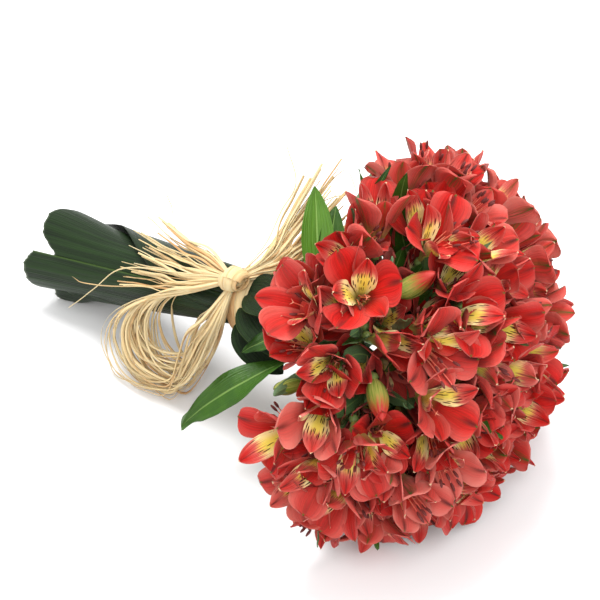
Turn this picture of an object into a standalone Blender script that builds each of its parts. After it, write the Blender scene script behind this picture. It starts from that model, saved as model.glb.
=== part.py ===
"""A hand-tied bouquet of red alstroemerias lying on a table.

Eight flower stems cross in one tie of raffia. Each stem ends in a knuckle from which the rays of
its umbel fan out, and a ray carries one bloom, a fork with two blooms, or a bud. Two broad leaves
are rolled round the stems below the blooms, and five foliage leaves stand out beside the blooms.

Metres, +Z up. +X runs from the cut stem ends to the blooms, and the table is at z = 0.
"""

import math
import random

import bmesh
import bpy
from mathutils import Matrix, Vector

# Driving dimensions of the bouquet
STEM_END = Vector((-0.2335, 0.0, 0.0345))
TIE = Vector((-0.0045, 0.0, 0.0952))
HEAD = Vector((0.134, 0.0, 0.122))
HEAD_ALONG = 0.108
HEAD_ACROSS = 0.147
CLEARANCE = 0.0003
CENTRING = Vector((0.006, 0.0, 0.0))

# One bloom, from the ovary to the tips of its six tepals
BLOOM_LENGTH = 0.045
TIP_RADIUS = 0.0235
NOTCH_RADIUS = 0.0150
NOTCH_DROP = 0.010
THROAT_RADIUS = 0.0072
OVARY_RADIUS = 0.0034
PEDICEL_RADIUS = 0.0013
TEPAL_THICKNESS = 0.0016
BUD_RADIUS = 0.0066
BUD_LENGTH = 0.040
SIDES = 12

# Places of the blooms and buds on the side that faces up and forwards, in degrees: the angle round
# the bouquet's axis from the top towards the front, and the angle away from the axis
OPEN_BLOOMS = (
    (51, 86),
    (37, 71),
    (16, 76),
    (-6, 88),
    (-22, 70),
    (4, 56),
    (-41, 60),
    (-58, 44),
    (-14, 40),
    (-14, 22),
    (-78, 30),
    (25, 36),
    (-100, 62),
    (61, 73),
    (74, 77),
    (90, 98),
    (48, 43),
    (72, 28),
    (48, 18),
    (66, 2),
    (-150, 22),
    (118, 18),
    (104, 38),
    (136, 30),
    (92, 80),
    (102, 94),
    (108, 70),
    (94, 55),
    (114, 54),
    (126, 76),
    (143, 50),
    (164, 38),
    (118, 92),
    (90, 67),
)
BUDS = (
    (28, 53),
    (54, 60),
    (75, 60),
    (77, 98),
)
FARTHEST_FROM_AXIS = 100
FILLING_STEPS = 90
SPACING = 0.045
FIRST_SPACING = 0.036
SETTLING_ROUNDS = 60
LEAN = 0.10
RAY_COUNT = 40
LAYOUT_SEED = 4

# Stems
STEM_COUNT = 8
STEM_RADIUS = 0.0042
KNUCKLE_RADIUS = 0.006
BUNDLE_RADIUS = 0.0102
BUNDLE_END_RADIUS = 0.019
SPIRAL_TURN = math.radians(100)
MIDDLE_KNUCKLE_AHEAD = 0.010
OUTER_KNUCKLE_OUT = 0.046
OUTER_KNUCKLE_BACK = 0.004

# Rolled leaves round the stems
WRAP_THICKNESS = 0.0010
WRAP_RADIUS_AT_END = 0.0385
WRAP_RADIUS_AT_TIE = 0.0205
WRAP_PITCH = 0.0024
END_SAG = 0.007
WRAP_COLUMNS = 25
INNER_WRAP_INSET = 0.0046
TIE_ZONE = 0.011
WRAP_ROWS = (0.02, 0.05, 0.08, 0.11, 0.14, 0.17, 0.20)

# Raffia
BAND_WIDTH = 0.014
BAND_THICKNESS = 0.0026
BAND_INSET = 0.0037
BAND_TILT = math.radians(5)
KNOT_SIZE = Vector((0.0085, 0.0075, 0.0065))
KNOT_ANGLE = math.radians(28)

BUNDLE = (TIE - STEM_END).normalized()
AXIS = (HEAD - TIE).normalized()
FRONT = Vector((0, -1, 0))
ABOVE = FRONT.cross(AXIS).normalized()
BUNDLE_ABOVE = FRONT.cross(BUNDLE).normalized()


def clear_scene():
    for found in list(bpy.data.objects):
        bpy.data.objects.remove(found)


def collection(name):
    made = bpy.data.collections.new(name)
    bpy.context.scene.collection.children.link(made)
    return made


def material(name, colour, roughness):
    made = bpy.data.materials.new(name)
    made.use_nodes = True
    shader = made.node_tree.nodes["Principled BSDF"]
    shader.inputs["Base Color"].default_value = (*colour, 1.0)
    shader.inputs["Roughness"].default_value = roughness
    shader.inputs["Metallic"].default_value = 0.0
    return made


def place(name, data, finish, group):
    made = bpy.data.objects.new(name, data)
    made.location = CENTRING
    data.materials.append(finish)
    group.objects.link(made)
    return made


def finished_mesh(name, shape, sharp_angle=50):
    mesh = bpy.data.meshes.new(name)
    shape.to_mesh(mesh)
    shape.free()
    mesh.shade_smooth()
    mesh.set_sharp_from_angle(angle=math.radians(sharp_angle))
    return mesh


def loft(name, rings, finish, group):
    """One closed body through rings that have the same number of points, capped at both ends."""
    shape = bmesh.new()
    rows = [[shape.verts.new(point) for point in ring] for ring in rings]
    for low, high in zip(rows, rows[1:]):
        for i in range(len(low)):
            j = (i + 1) % len(low)
            shape.faces.new((low[i], low[j], high[j], high[i]))
    shape.faces.new(list(reversed(rows[0])))
    shape.faces.new(rows[-1])
    bmesh.ops.recalc_face_normals(shape, faces=shape.faces)
    return place(name, finished_mesh(name, shape), finish, group)


def sheet(name, rows, thickness, finish, group, offset=0.0):
    """An open surface through rows of points, given its thickness by Solidify."""
    shape = bmesh.new()
    grid = [[shape.verts.new(point) for point in row] for row in rows]
    for low, high in zip(grid, grid[1:]):
        for i in range(len(low) - 1):
            shape.faces.new((low[i], low[i + 1], high[i + 1], high[i]))
    made = place(name, finished_mesh(name, shape), finish, group)
    solidify = made.modifiers.new("thickness", "SOLIDIFY")
    solidify.thickness = thickness
    solidify.offset = offset
    return made


def smooth_route(points, count):
    """Points spaced evenly in parameter on a Catmull-Rom curve through the given points."""
    ends = [points[0] * 2 - points[1], *points, points[-1] * 2 - points[-2]]
    spans = len(points) - 1
    route = []
    for n in range(count):
        t = n / (count - 1) * spans
        k = min(int(t), spans - 1)
        t -= k
        a, b, c, d = ends[k : k + 4]
        bend = (2 * a - 5 * b + 4 * c - d) * t**2 + (3 * b - a - 3 * c + d) * t**3
        route.append(0.5 * (2 * b + (c - a) * t + bend))
    return route


def directions(route):
    """The travelling direction at each point of a route."""
    last = len(route) - 1
    return [(route[min(i + 1, last)] - route[max(i - 1, 0)]).normalized() for i in range(last + 1)]


def tube(name, route, radii, finish, group):
    """A round tube along the route, with its own radius at each point."""
    curve = bpy.data.curves.new(name, "CURVE")
    curve.dimensions = "3D"
    curve.bevel_depth = 1.0
    curve.bevel_resolution = 2
    curve.use_fill_caps = True
    spline = curve.splines.new("POLY")
    spline.points.add(len(route) - 1)
    for control, point, radius in zip(spline.points, route, radii):
        control.co = (*point, 1.0)
        control.radius = radius
    return place(name, curve, finish, group)


def dome_direction(around, away):
    """Unit direction at an angle round the bouquet's axis and an angle away from it, in degrees."""
    turn, tilt = math.radians(around), math.radians(away)
    across = ABOVE * math.cos(turn) + FRONT * math.sin(turn)
    return AXIS * math.cos(tilt) + across * math.sin(tilt)


def dome_point(direction):
    """The point of the head's outer surface that lies in this direction of its unit dome."""
    along = direction.dot(AXIS)
    return HEAD + AXIS * (along * HEAD_ALONG) + (direction - AXIS * along) * HEAD_ACROSS


def outward(direction):
    """The surface's outward direction at that point."""
    along = direction.dot(AXIS)
    return (AXIS * (along / HEAD_ALONG) + (direction - AXIS * along) / HEAD_ACROSS).normalized()


def resting_point(direction):
    """The dome's point, lifted where the head is pressed flat on the table."""
    point = dome_point(direction)
    point.z = max(point.z, 0.4 * TIP_RADIUS)
    return point


def filling_directions():
    """Even places over the whole dome on a golden-angle spiral, down to its rim."""
    lowest = math.cos(math.radians(FARTHEST_FROM_AXIS))
    for n in range(FILLING_STEPS):
        away = math.degrees(math.acos(1 - (1 - lowest) * (n + 0.5) / FILLING_STEPS))
        yield dome_direction(n * 137.508, away)


def settled(places):
    """Pushes neighbours apart over the dome until no two are nearer than the spacing."""
    places = [place.copy() for place in places]
    for _ in range(SETTLING_ROUNDS):
        points = [resting_point(direction) for direction in places]
        pushes = [Vector() for _ in places]
        for i, here in enumerate(points):
            for j in range(i):
                gap = here - points[j]
                short = SPACING - gap.length
                if short > 0:
                    pushes[i] += gap.normalized() * (0.5 * short)
                    pushes[j] -= gap.normalized() * (0.5 * short)
        for i, push in enumerate(pushes):
            moved = (places[i] + push / HEAD_ACROSS).normalized()
            away = math.degrees(math.acos(max(-1.0, min(1.0, moved.dot(AXIS)))))
            if away < FARTHEST_FROM_AXIS:
                places[i] = moved
    return places


def flower_directions():
    """Directions of all flowers: those placed one by one first, then the filling of the far side."""
    chosen = [dome_direction(*spot) for spot in OPEN_BLOOMS + BUDS]
    for candidate in filling_directions():
        point = resting_point(candidate)
        if min((point - resting_point(other)).length for other in chosen) > FIRST_SPACING:
            chosen.append(candidate)
    return settled(chosen)


def tip_point(k):
    """Tip of tepal k in the bloom's own frame, whose origin is the ovary."""
    angle = math.tau * k / 6
    return Vector((TIP_RADIUS * math.cos(angle), TIP_RADIUS * math.sin(angle), BLOOM_LENGTH))


def flowers():
    """For each flower: its ovary's place, the rotation from its own frame, and whether it is a bud."""
    chance = random.Random(LAYOUT_SEED)
    made = []
    for n, direction in enumerate(flower_directions()):
        point = dome_point(direction)
        lean = Vector([chance.uniform(-LEAN, LEAN) for _ in range(3)])
        facing = (outward(direction) + lean).normalized()
        roll = Matrix.Rotation(math.radians(chance.uniform(0, 60)), 3, "Z")
        turned = facing.to_track_quat("Z", "Y").to_matrix() @ roll
        ovary = point - facing * BLOOM_LENGTH
        lowest = min((ovary + turned @ tip_point(k)).z for k in range(6))
        ovary.z += max(0.0, -lowest)
        is_bud = len(OPEN_BLOOMS) <= n < len(OPEN_BLOOMS) + len(BUDS)
        made.append((ovary, turned, is_bud))
    return made


def circle(radius, height):
    angles = [math.tau * i / SIDES for i in range(SIDES)]
    return [Vector((radius * math.cos(angle), radius * math.sin(angle), height)) for angle in angles]


def star(tip, notch, height, drop):
    """A six-pointed ring: tepal tips at the even points and the gaps between them at the odd ones."""
    ring = []
    for i in range(SIDES):
        radius, z = (tip, height) if i % 2 == 0 else (notch, height - drop)
        angle = math.tau * i / SIDES
        ring.append(Vector((radius * math.cos(angle), radius * math.sin(angle), z)))
    return ring


def flower_rings(is_bud):
    """Rings of a bloom or a closed bud in its own frame, from the ovary outwards."""
    if is_bud:
        return [
            circle(OVARY_RADIUS, 0.003),
            circle(BUD_RADIUS, 0.4 * BUD_LENGTH),
            circle(0.75 * BUD_RADIUS, 0.72 * BUD_LENGTH),
            circle(0.0012, BUD_LENGTH),
        ]
    return [
        circle(OVARY_RADIUS, 0.003),
        circle(THROAT_RADIUS, 0.016),
        star(TIP_RADIUS, NOTCH_RADIUS, BLOOM_LENGTH, NOTCH_DROP),
        star(TIP_RADIUS - TEPAL_THICKNESS, NOTCH_RADIUS - TEPAL_THICKNESS, BLOOM_LENGTH, NOTCH_DROP),
        circle(0.0016, 0.010),
    ]


def pedicel_rings(start, ovary, turned, radius, shares):
    """Rings of a flower stalk that leaves the start and comes up straight behind the flower."""
    facing = turned @ Vector((0, 0, 1))
    elbow = ovary - facing * (0.45 * (ovary - start).length)
    rings = []
    for t in shares:
        centre = start * (1 - t) ** 2 + elbow * (2 * t * (1 - t)) + ovary * t**2
        along = ((elbow - start) * (1 - t) + (ovary - elbow) * t).normalized()
        turn = facing.rotation_difference(along).to_matrix() @ turned
        rings.append([centre + turn @ point for point in circle(radius, 0.0)])
    return rings


def stalk_and_flower(name, start, flower, radius, finish, group):
    """Stalk and flower as one body that begins at the start point."""
    ovary, turned, is_bud = flower
    rings = pedicel_rings(start, ovary, turned, radius, (0.0, 0.5))
    rings += [[ovary + turned @ point for point in ring] for ring in flower_rings(is_bud)]
    return loft(name, rings, finish, group)


def lower_stalk(name, start, fork, finish, group):
    """The straight stalk below a fork, reaching just past the place where it divides."""
    along = (fork - start).normalized()
    spin = along.to_track_quat("Z", "Y").to_matrix()
    centres = (start, fork + along * (1.4 * PEDICEL_RADIUS))
    rings = [[centre + spin @ point for point in circle(PEDICEL_RADIUS, 0.0)] for centre in centres]
    return loft(name, rings, finish, group)


def ray(name, knuckle, members, finishes, group, helpers):
    """One ray of an umbel: a stalk with one flower, or a fork with two."""
    first = members[0]
    finish = finishes[first[2]]
    forked = len(members) == 2
    if forked:
        fork = knuckle.lerp((first[0] + members[1][0]) / 2, 0.55)
    aim = fork if forked else first[0] - first[1] @ Vector((0, 0, 0.02))
    start = knuckle + (aim - knuckle).normalized() * (KNUCKLE_RADIUS + CLEARANCE)
    if not forked:
        return stalk_and_flower(name, start, first, PEDICEL_RADIUS, finish, group)
    whole = lower_stalk(name, start, fork, finish, group)
    for k, flower in enumerate(members):
        branch = stalk_and_flower(f"{name}_branch_{k}", fork, flower, 0.9 * PEDICEL_RADIUS, finish, helpers)
        branch.hide_render = True
        branch.display_type = "WIRE"
        union = whole.modifiers.new(f"branch_{k}", "BOOLEAN")
        union.operation = "UNION"
        union.object = branch
    return whole


def knuckles():
    """Where each stem ends: one on the bouquet's axis and the others in a ring round it."""
    made = [HEAD + AXIS * MIDDLE_KNUCKLE_AHEAD]
    for k in range(STEM_COUNT - 1):
        angle = math.tau * (k + 0.5) / (STEM_COUNT - 1)
        across = ABOVE * math.cos(angle) + FRONT * math.sin(angle)
        made.append(HEAD - AXIS * OUTER_KNUCKLE_BACK + across * OUTER_KNUCKLE_OUT)
    return made


def rays(all_flowers, tops):
    """Shares the flowers out: nearest stem first, then near neighbours pair up on forks."""
    homes = [min(range(len(tops)), key=lambda k: (tops[k] - flower[0]).length) for flower in all_flowers]
    groups = {n: [n] for n in range(len(all_flowers))}
    pairs = []
    for i, one in enumerate(all_flowers):
        for j, other in enumerate(all_flowers[:i]):
            if homes[i] == homes[j] and not one[2] and not other[2]:
                pairs.append(((one[0] - other[0]).length, j, i))
    taken = set()
    for _, j, i in sorted(pairs):
        if len(groups) > RAY_COUNT and not taken & {i, j}:
            taken.update((i, j))
            del groups[i]
            groups[j] = [j, i]
    return [(homes[n], members) for n, members in groups.items()]


def bundle_point(k, share, radius):
    """Offset of stem k where the bundle has this radius, a share of the spiral's turn round."""
    if k == 0:
        return bundle_point(1, share, radius) * 0.16
    angle = math.tau * (k - 0.5) / (STEM_COUNT - 1) + SPIRAL_TURN * (share - 1)
    return (ABOVE * math.cos(angle) + FRONT * math.sin(angle)) * radius


def stem(k, knuckle, finish, group):
    """One flower stem: cut end, binding point, then outwards to the knuckle of its umbel."""
    below = TIE.lerp(STEM_END, 0.5)
    above = TIE.lerp(HEAD, 0.35)
    end_shift = BUNDLE * (0.004 * (k % 3) + 0.012)
    guides = [
        STEM_END + end_shift + bundle_point(k, -0.6, BUNDLE_END_RADIUS),
        below + bundle_point(k, 0.3, 0.5 * (BUNDLE_RADIUS + BUNDLE_END_RADIUS)),
        TIE - BUNDLE * TIE_ZONE + bundle_point(k, 1.0, BUNDLE_RADIUS),
        TIE + BUNDLE * TIE_ZONE + bundle_point(k, 1.0, BUNDLE_RADIUS),
        above + bundle_point(k, 1.0, 2.1 * BUNDLE_RADIUS),
        knuckle,
    ]
    route = smooth_route(guides, 11)
    ahead = (route[-1] - route[-2]).normalized()
    route[-1] = knuckle - ahead * KNUCKLE_RADIUS
    radii = [STEM_RADIUS] * len(route)
    for polar in (110, 70, 40, 8):
        angle = math.radians(polar)
        route.append(knuckle + ahead * (KNUCKLE_RADIUS * math.cos(angle)))
        radii.append(KNUCKLE_RADIUS * math.sin(angle))
    tube(f"stem_{k + 1}", route, radii, finish, group)
    return route


def wrap_radius(distance):
    """Radius of the rolled leaves at this distance up the bundle, even where the band is tied."""
    below_band = (TIE - STEM_END).length - TIE_ZONE
    above_band = below_band + 2 * TIE_ZONE
    slope = (WRAP_RADIUS_AT_TIE - WRAP_RADIUS_AT_END) / below_band
    return WRAP_RADIUS_AT_END + slope * min(distance, below_band) + 0.25 * max(0.0, distance - above_band)


def round_bundle(distance, angle, radius):
    """Point at a distance up the bundle, an angle round it from the top, and a radius from its axis."""
    across = BUNDLE_ABOVE * math.cos(angle) + FRONT * math.sin(angle)
    return STEM_END + BUNDLE * distance + across * radius


def blend(low, high, share):
    share = max(0.0, min(1.0, share))
    return low + (high - low) * share * share * (3 - 2 * share)


def rolled_leaf(name, start_angle, end_angles, reach, inset, pitch, floor, finish, group):
    """A leaf rolled round the bundle, its far edge running across from one angle to another.

    Its cut end sags and lies flat on the table.
    """
    rows = []
    band_middle = (TIE - STEM_END).length
    steps = (None, *WRAP_ROWS, band_middle - TIE_ZONE, band_middle + TIE_ZONE, None)
    for r, step in enumerate(steps):
        row = []
        for i in range(WRAP_COLUMNS):
            share = i / (WRAP_COLUMNS - 1)
            distance = reach(share)[min(r, 1)] if step is None else step
            end_angle = blend(*end_angles, distance / 0.22)
            turn = start_angle + (end_angle - start_angle) * share
            radius = wrap_radius(distance) - inset + pitch * (turn - start_angle) / 360
            point = round_bundle(distance, math.radians(turn), radius)
            underneath = max(0.0, -math.cos(math.radians(turn))) ** 3
            point.z -= END_SAG * underneath * blend(1.0, 0.0, (distance - 0.022) / 0.03)
            point.z = max(point.z, floor)
            row.append(point)
        rows.append(row)
    return sheet(name, rows, WRAP_THICKNESS, finish, group, offset=-1.0)


def outer_reach(share):
    """The outer leaf's ends: a lobe at its free edge, and a long tip under the lowest blooms."""
    lobe = 0.016 * math.exp(-(((share - 0.05) / 0.16) ** 2))
    tip = 0.038 * math.exp(-(((share - 0.18) / 0.13) ** 2))
    return -0.004 - lobe, (TIE - STEM_END).length + TIE_ZONE + 0.006 + tip


def inner_reach(share):
    """The inner leaf's ends, cut a little unevenly across."""
    return 0.004 * math.cos(3 * math.tau * share), (TIE - STEM_END).length + TIE_ZONE + 0.001


def leaf(name, guides, half_width, facing, finish, group):
    """A lance-shaped leaf along its guides, folded a little along its midrib."""
    route = smooth_route(guides, 9)
    rows = []
    for n, (centre, along) in enumerate(zip(route, directions(route))):
        side = facing.cross(along).normalized()
        upward = along.cross(side)
        share = n / (len(route) - 1)
        width = 0.0009 + half_width * math.sin(math.pi * share**0.8) ** 0.85
        row = []
        for u in (-1.0, -0.5, 0.0, 0.5, 1.0):
            row.append(centre + side * (u * width) + upward * (0.28 * abs(u) * width))
        rows.append(row)
    return sheet(name, rows, 0.0009, finish, group)


def strands(name, guides, widths, depths, facing, finish, group):
    """A bunch of raffia strands as one body with an oval section that spreads and tapers."""
    route = smooth_route(guides, 2 * len(guides) - 1)
    rings = []
    for n, (centre, along) in enumerate(zip(route, directions(route))):
        side = facing.cross(along).normalized()
        upward = along.cross(side)
        share = n / (len(route) - 1)
        k = min(int(share * (len(widths) - 1)), len(widths) - 2)
        wide = blend(widths[k], widths[k + 1], share * (len(widths) - 1) - k)
        deep = blend(*depths, share)
        ring = []
        for i in range(8):
            angle = math.tau * i / 8
            ring.append(centre + side * (wide * math.cos(angle)) + upward * (deep * math.sin(angle)))
        rings.append(ring)
    return loft(name, rings, finish, group)


def band(finish, group):
    """The turns of raffia round the tie, a flat ring tilted a little forwards at the front."""
    tilt = Matrix.Rotation(BAND_TILT, 3, BUNDLE_ABOVE)
    axle = tilt @ BUNDLE
    out = tilt @ FRONT
    inside = WRAP_RADIUS_AT_TIE + BAND_INSET
    shape = bmesh.new()
    corners = []
    for along, height in ((-0.5, 0.0), (-0.42, 1.0), (0.42, 1.0), (0.5, 0.0)):
        corners.append(TIE + axle * (along * BAND_WIDTH) + out * (inside + height * BAND_THICKNESS))
    profile = [shape.verts.new(corner) for corner in corners]
    edges = [shape.edges.new((profile[i], profile[(i + 1) % 4])) for i in range(4)]
    bmesh.ops.spin(shape, geom=profile + edges, cent=TIE, axis=axle, angle=math.tau, steps=28, use_merge=True)
    bmesh.ops.remove_doubles(shape, verts=shape.verts, dist=0.00005)
    bmesh.ops.recalc_face_normals(shape, faces=shape.faces)
    return place("raffia_band", finished_mesh("raffia_band", shape, 40), finish, group)


def knot_frame():
    """Centre of the knot on top of the band, and the directions of its three half sizes."""
    across = BUNDLE_ABOVE * math.cos(KNOT_ANGLE) + FRONT * math.sin(KNOT_ANGLE)
    out = WRAP_RADIUS_AT_TIE + BAND_INSET + BAND_THICKNESS + 0.0006 + KNOT_SIZE.z
    side = across.cross(BUNDLE).normalized()
    return TIE + across * out, Matrix((BUNDLE, side, across)).transposed()


def knot(finish, group):
    """The raffia knot, a flattened ball on top of the band."""
    centre, frame = knot_frame()
    shape = bmesh.new()
    bmesh.ops.create_uvsphere(shape, u_segments=14, v_segments=8, radius=1.0)
    mesh = finished_mesh("raffia_knot", shape, 60)
    mesh.transform(Matrix.Translation(centre) @ frame.to_4x4() @ Matrix.Diagonal((*KNOT_SIZE, 1.0)))
    return place("raffia_knot", mesh, finish, group)


def from_knot(toward):
    """A point just clear of the knot's surface on the way to the given point."""
    centre, frame = knot_frame()
    heading = (toward - centre).normalized()
    inside = frame.transposed() @ heading
    reach = 1 / math.sqrt(sum((inside[i] / KNOT_SIZE[i]) ** 2 for i in range(3)))
    return centre + heading * (reach + CLEARANCE)


def raffia(finish, group):
    """The tie: band and knot, the loops that lie on the table, the frayed tails and the bow."""
    band(finish, group)
    knot(finish, group)
    loop_guides = [
        from_knot(Vector((-0.047, -0.034, 0.107))),
        Vector((-0.047, -0.034, 0.107)),
        Vector((-0.078, -0.039, 0.089)),
        Vector((-0.103, -0.045, 0.064)),
        Vector((-0.113, -0.050, 0.037)),
        Vector((-0.103, -0.056, 0.015)),
        Vector((-0.084, -0.059, 0.0075)),
        Vector((-0.064, -0.057, 0.0065)),
        Vector((-0.045, -0.054, 0.014)),
        Vector((-0.030, -0.049, 0.041)),
        Vector((-0.021, -0.043, 0.068)),
        Vector((-0.013, -0.040, 0.091)),
        from_knot(Vector((-0.011, -0.038, 0.098))),
    ]
    loop_widths = (0.003, 0.006, 0.006, 0.003)
    strands("raffia_loops", loop_guides, loop_widths, (0.003, 0.003), Vector((0, -0.8, 0.6)), finish, group)
    tail_guides = [
        from_knot(Vector((-0.050, -0.009, 0.118))),
        Vector((-0.050, -0.009, 0.118)),
        Vector((-0.084, -0.007, 0.112)),
        Vector((-0.116, -0.005, 0.104)),
        Vector((-0.150, -0.004, 0.100)),
    ]
    tail_widths = (0.003, 0.009, 0.014, 0.007)
    strands("raffia_tails", tail_guides, tail_widths, (0.003, 0.0015), Vector((0, 0, 1)), finish, group)
    bow_guides = [
        from_knot(Vector((0.002, 0.018, 0.137))),
        Vector((0.002, 0.018, 0.137)),
        Vector((0.008, 0.040, 0.148)),
        Vector((0.010, 0.062, 0.168)),
        Vector((0.014, 0.080, 0.190)),
    ]
    bow_widths = (0.003, 0.009, 0.013, 0.006)
    strands("raffia_bow", bow_guides, bow_widths, (0.003, 0.0015), Vector((-0.5, 0.3, 0.6)), finish, group)


def leaf_base(route, along_x, out):
    """A point on a stem's skin, on the side that faces out, where the stem passes this x."""
    for low, high in zip(route, route[1:]):
        if low.x <= along_x <= high.x:
            centre = low.lerp(high, (along_x - low.x) / (high.x - low.x))
            return centre + out.normalized() * (STEM_RADIUS + 0.0009)
    return route[-1]


def foliage(routes, finish, group):
    """Leaves of the flower stems that stand out of the bouquet."""
    backwards = Vector((-0.7, -0.2, 0.7))
    long_leaf = [
        leaf_base(routes[3], 0.062, Vector((0, -1, -0.2))),
        Vector((0.054, -0.048, 0.088)),
        Vector((0.034, -0.074, 0.077)),
        Vector((0.017, -0.090, 0.060)),
        Vector((0.004, -0.101, 0.040)),
    ]
    leaf("foliage_1", long_leaf, 0.0115, Vector((-0.3, -0.3, 0.9)), finish, group)
    upright_leaf = [
        leaf_base(routes[7], 0.056, Vector((0, -0.2, 1))),
        Vector((0.044, 0.016, 0.150)),
        Vector((0.030, 0.034, 0.167)),
        Vector((0.014, 0.050, 0.185)),
    ]
    leaf("foliage_2", upright_leaf, 0.0105, backwards, finish, group)
    short_leaf = [
        leaf_base(routes[7], 0.066, Vector((0, 0.5, 1))),
        Vector((0.052, 0.028, 0.146)),
        Vector((0.042, 0.042, 0.162)),
        Vector((0.034, 0.056, 0.172)),
    ]
    leaf("foliage_3", short_leaf, 0.009, backwards, finish, group)
    narrow_leaf = [
        leaf_base(routes[7], 0.078, Vector((0, 1, 0.6))),
        Vector((0.050, 0.052, 0.150)),
        Vector((0.046, 0.072, 0.180)),
        Vector((0.050, 0.090, 0.203)),
    ]
    leaf("foliage_4", narrow_leaf, 0.005, backwards, finish, group)
    front_leaf = [
        leaf_base(routes[2], 0.050, Vector((0, -1, 0.4))),
        Vector((0.036, -0.050, 0.108)),
        Vector((0.024, -0.064, 0.104)),
        Vector((0.016, -0.074, 0.096)),
    ]
    leaf("foliage_5", front_leaf, 0.005, Vector((0, 0, 1)), finish, group)


def main():
    clear_scene()
    group = collection("alstroemeria_bouquet")
    helpers = collection("branches_joined_to_rays")
    petal = material("petal_red", (0.60, 0.03, 0.03), 0.5)
    bud_green = material("bud_green", (0.35, 0.40, 0.08), 0.5)
    stem_green = material("stem_green", (0.12, 0.22, 0.04), 0.5)
    wrap_green = material("wrap_leaf_green", (0.02, 0.06, 0.03), 0.4)
    leaf_green = material("foliage_green", (0.06, 0.20, 0.03), 0.45)
    straw = material("raffia_straw", (0.72, 0.55, 0.30), 0.8)
    tops = knuckles()
    routes = [stem(k, top, stem_green, group) for k, top in enumerate(tops)]
    all_flowers = flowers()
    for n, (home, members) in enumerate(rays(all_flowers, tops)):
        own = [all_flowers[m] for m in members]
        kind = "bud" if own[0][2] else "bloom"
        ray(f"{kind}_ray_{n + 1:02d}", tops[home], own, (petal, bud_green), group, helpers)
    inner_turns, outer_turns = (-170, (165, 165)), (75, (285, 445))
    inner_fit, outer_fit = (INNER_WRAP_INSET, 0.0, 0.0016), (0.0, WRAP_PITCH, 0.0)
    rolled_leaf("wrap_leaf_inner", *inner_turns, inner_reach, *inner_fit, wrap_green, group)
    rolled_leaf("wrap_leaf_outer", *outer_turns, outer_reach, *outer_fit, wrap_green, group)
    foliage(routes, leaf_green, group)
    raffia(straw, group)


main()
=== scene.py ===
# %% [markdown]
# # A hand-tied bouquet of red alstroemerias
#
# The bouquet lies on its side on a white table. Its stems are rolled in broad dark leaves and tied
# with raffia, and its blooms fan out into a dome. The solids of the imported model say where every
# piece is. This notebook grows the real surfaces around them: petals, stamens, leaves and straw.

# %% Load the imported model
import math
import random

import bmesh
import bpy
from mathutils import Matrix, Vector


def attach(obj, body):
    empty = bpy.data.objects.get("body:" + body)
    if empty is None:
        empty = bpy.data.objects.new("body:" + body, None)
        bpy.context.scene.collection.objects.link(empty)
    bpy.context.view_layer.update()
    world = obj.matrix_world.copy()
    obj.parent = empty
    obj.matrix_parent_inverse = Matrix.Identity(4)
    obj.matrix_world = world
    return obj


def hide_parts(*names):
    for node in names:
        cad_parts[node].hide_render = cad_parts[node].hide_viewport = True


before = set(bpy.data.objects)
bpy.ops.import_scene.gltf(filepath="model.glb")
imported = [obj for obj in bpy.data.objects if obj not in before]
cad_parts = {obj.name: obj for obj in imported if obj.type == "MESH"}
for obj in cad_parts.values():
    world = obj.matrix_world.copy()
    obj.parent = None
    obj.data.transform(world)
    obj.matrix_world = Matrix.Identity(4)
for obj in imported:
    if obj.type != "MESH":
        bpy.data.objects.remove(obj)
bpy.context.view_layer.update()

print("nodes in the frame:", len(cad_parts))

# %% [markdown]
# ## The studio
#
# The photograph looks down on the bouquet from the blooms' end, with a long lens. The table is
# white and the light is soft, so the shadows are short and pale. One large softbox hangs over the
# bouquet, a little behind it. A weaker one on the camera's side lifts the near petals, and the
# white surroundings fill in the rest.

# %% Camera and light
CAMERA_AZIMUTH = math.radians(38)
CAMERA_ELEVATION = math.radians(40)
CAMERA_AIM = Vector((0.0675, -0.0275, 0.1493))
CAMERA_DISTANCE = 1.05
CAMERA_LENS = 85
SOFTBOX_SIZE = 1.0
SOFTBOXES = (
    ("overhead", (-0.30, 0.25, 1.70), (0.08, 0.0, 0.08), 32.0),
    ("fill", (0.80, -0.60, 1.20), (0.10, 0.0, 0.10), 14.0),
)
ROOM_WHITE = (1.0, 1.0, 1.0, 1.0)
ROOM_LIGHT = 0.95


def toward_camera():
    level = math.cos(CAMERA_ELEVATION)
    x = math.sin(CAMERA_AZIMUTH) * level
    y = -math.cos(CAMERA_AZIMUTH) * level
    return Vector((x, y, math.sin(CAMERA_ELEVATION)))


def add_to_scene(name, data):
    made = bpy.data.objects.new(name, data)
    bpy.context.scene.collection.objects.link(made)
    return made


def aimed(made, place, target):
    made.location = place
    made.rotation_mode = "QUATERNION"
    made.rotation_quaternion = (target - place).to_track_quat("-Z", "Y")
    return made


def softbox(name, place, target, power):
    light = bpy.data.lights.new(name, "AREA")
    light.shape = "DISK"
    light.size = SOFTBOX_SIZE
    light.energy = power
    return aimed(add_to_scene(name, light), Vector(place), Vector(target))


def white_room():
    world = bpy.data.worlds.new("white_room")
    world.use_nodes = True
    background = world.node_tree.nodes["Background"]
    background.inputs["Color"].default_value = ROOM_WHITE
    background.inputs["Strength"].default_value = ROOM_LIGHT
    return world


TO_VIEWER = toward_camera()
camera_data = bpy.data.cameras.new("camera")
camera_data.lens = CAMERA_LENS
camera = aimed(add_to_scene("camera", camera_data), CAMERA_AIM + TO_VIEWER * CAMERA_DISTANCE, CAMERA_AIM)
bpy.context.scene.camera = camera
for name, place, target, power in SOFTBOXES:
    softbox(name, place, target, power)
bpy.context.scene.world = white_room()
bpy.context.scene.view_settings.view_transform = "Standard"
print("camera stands", round(CAMERA_DISTANCE, 2), "m from the middle of the picture")

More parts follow.
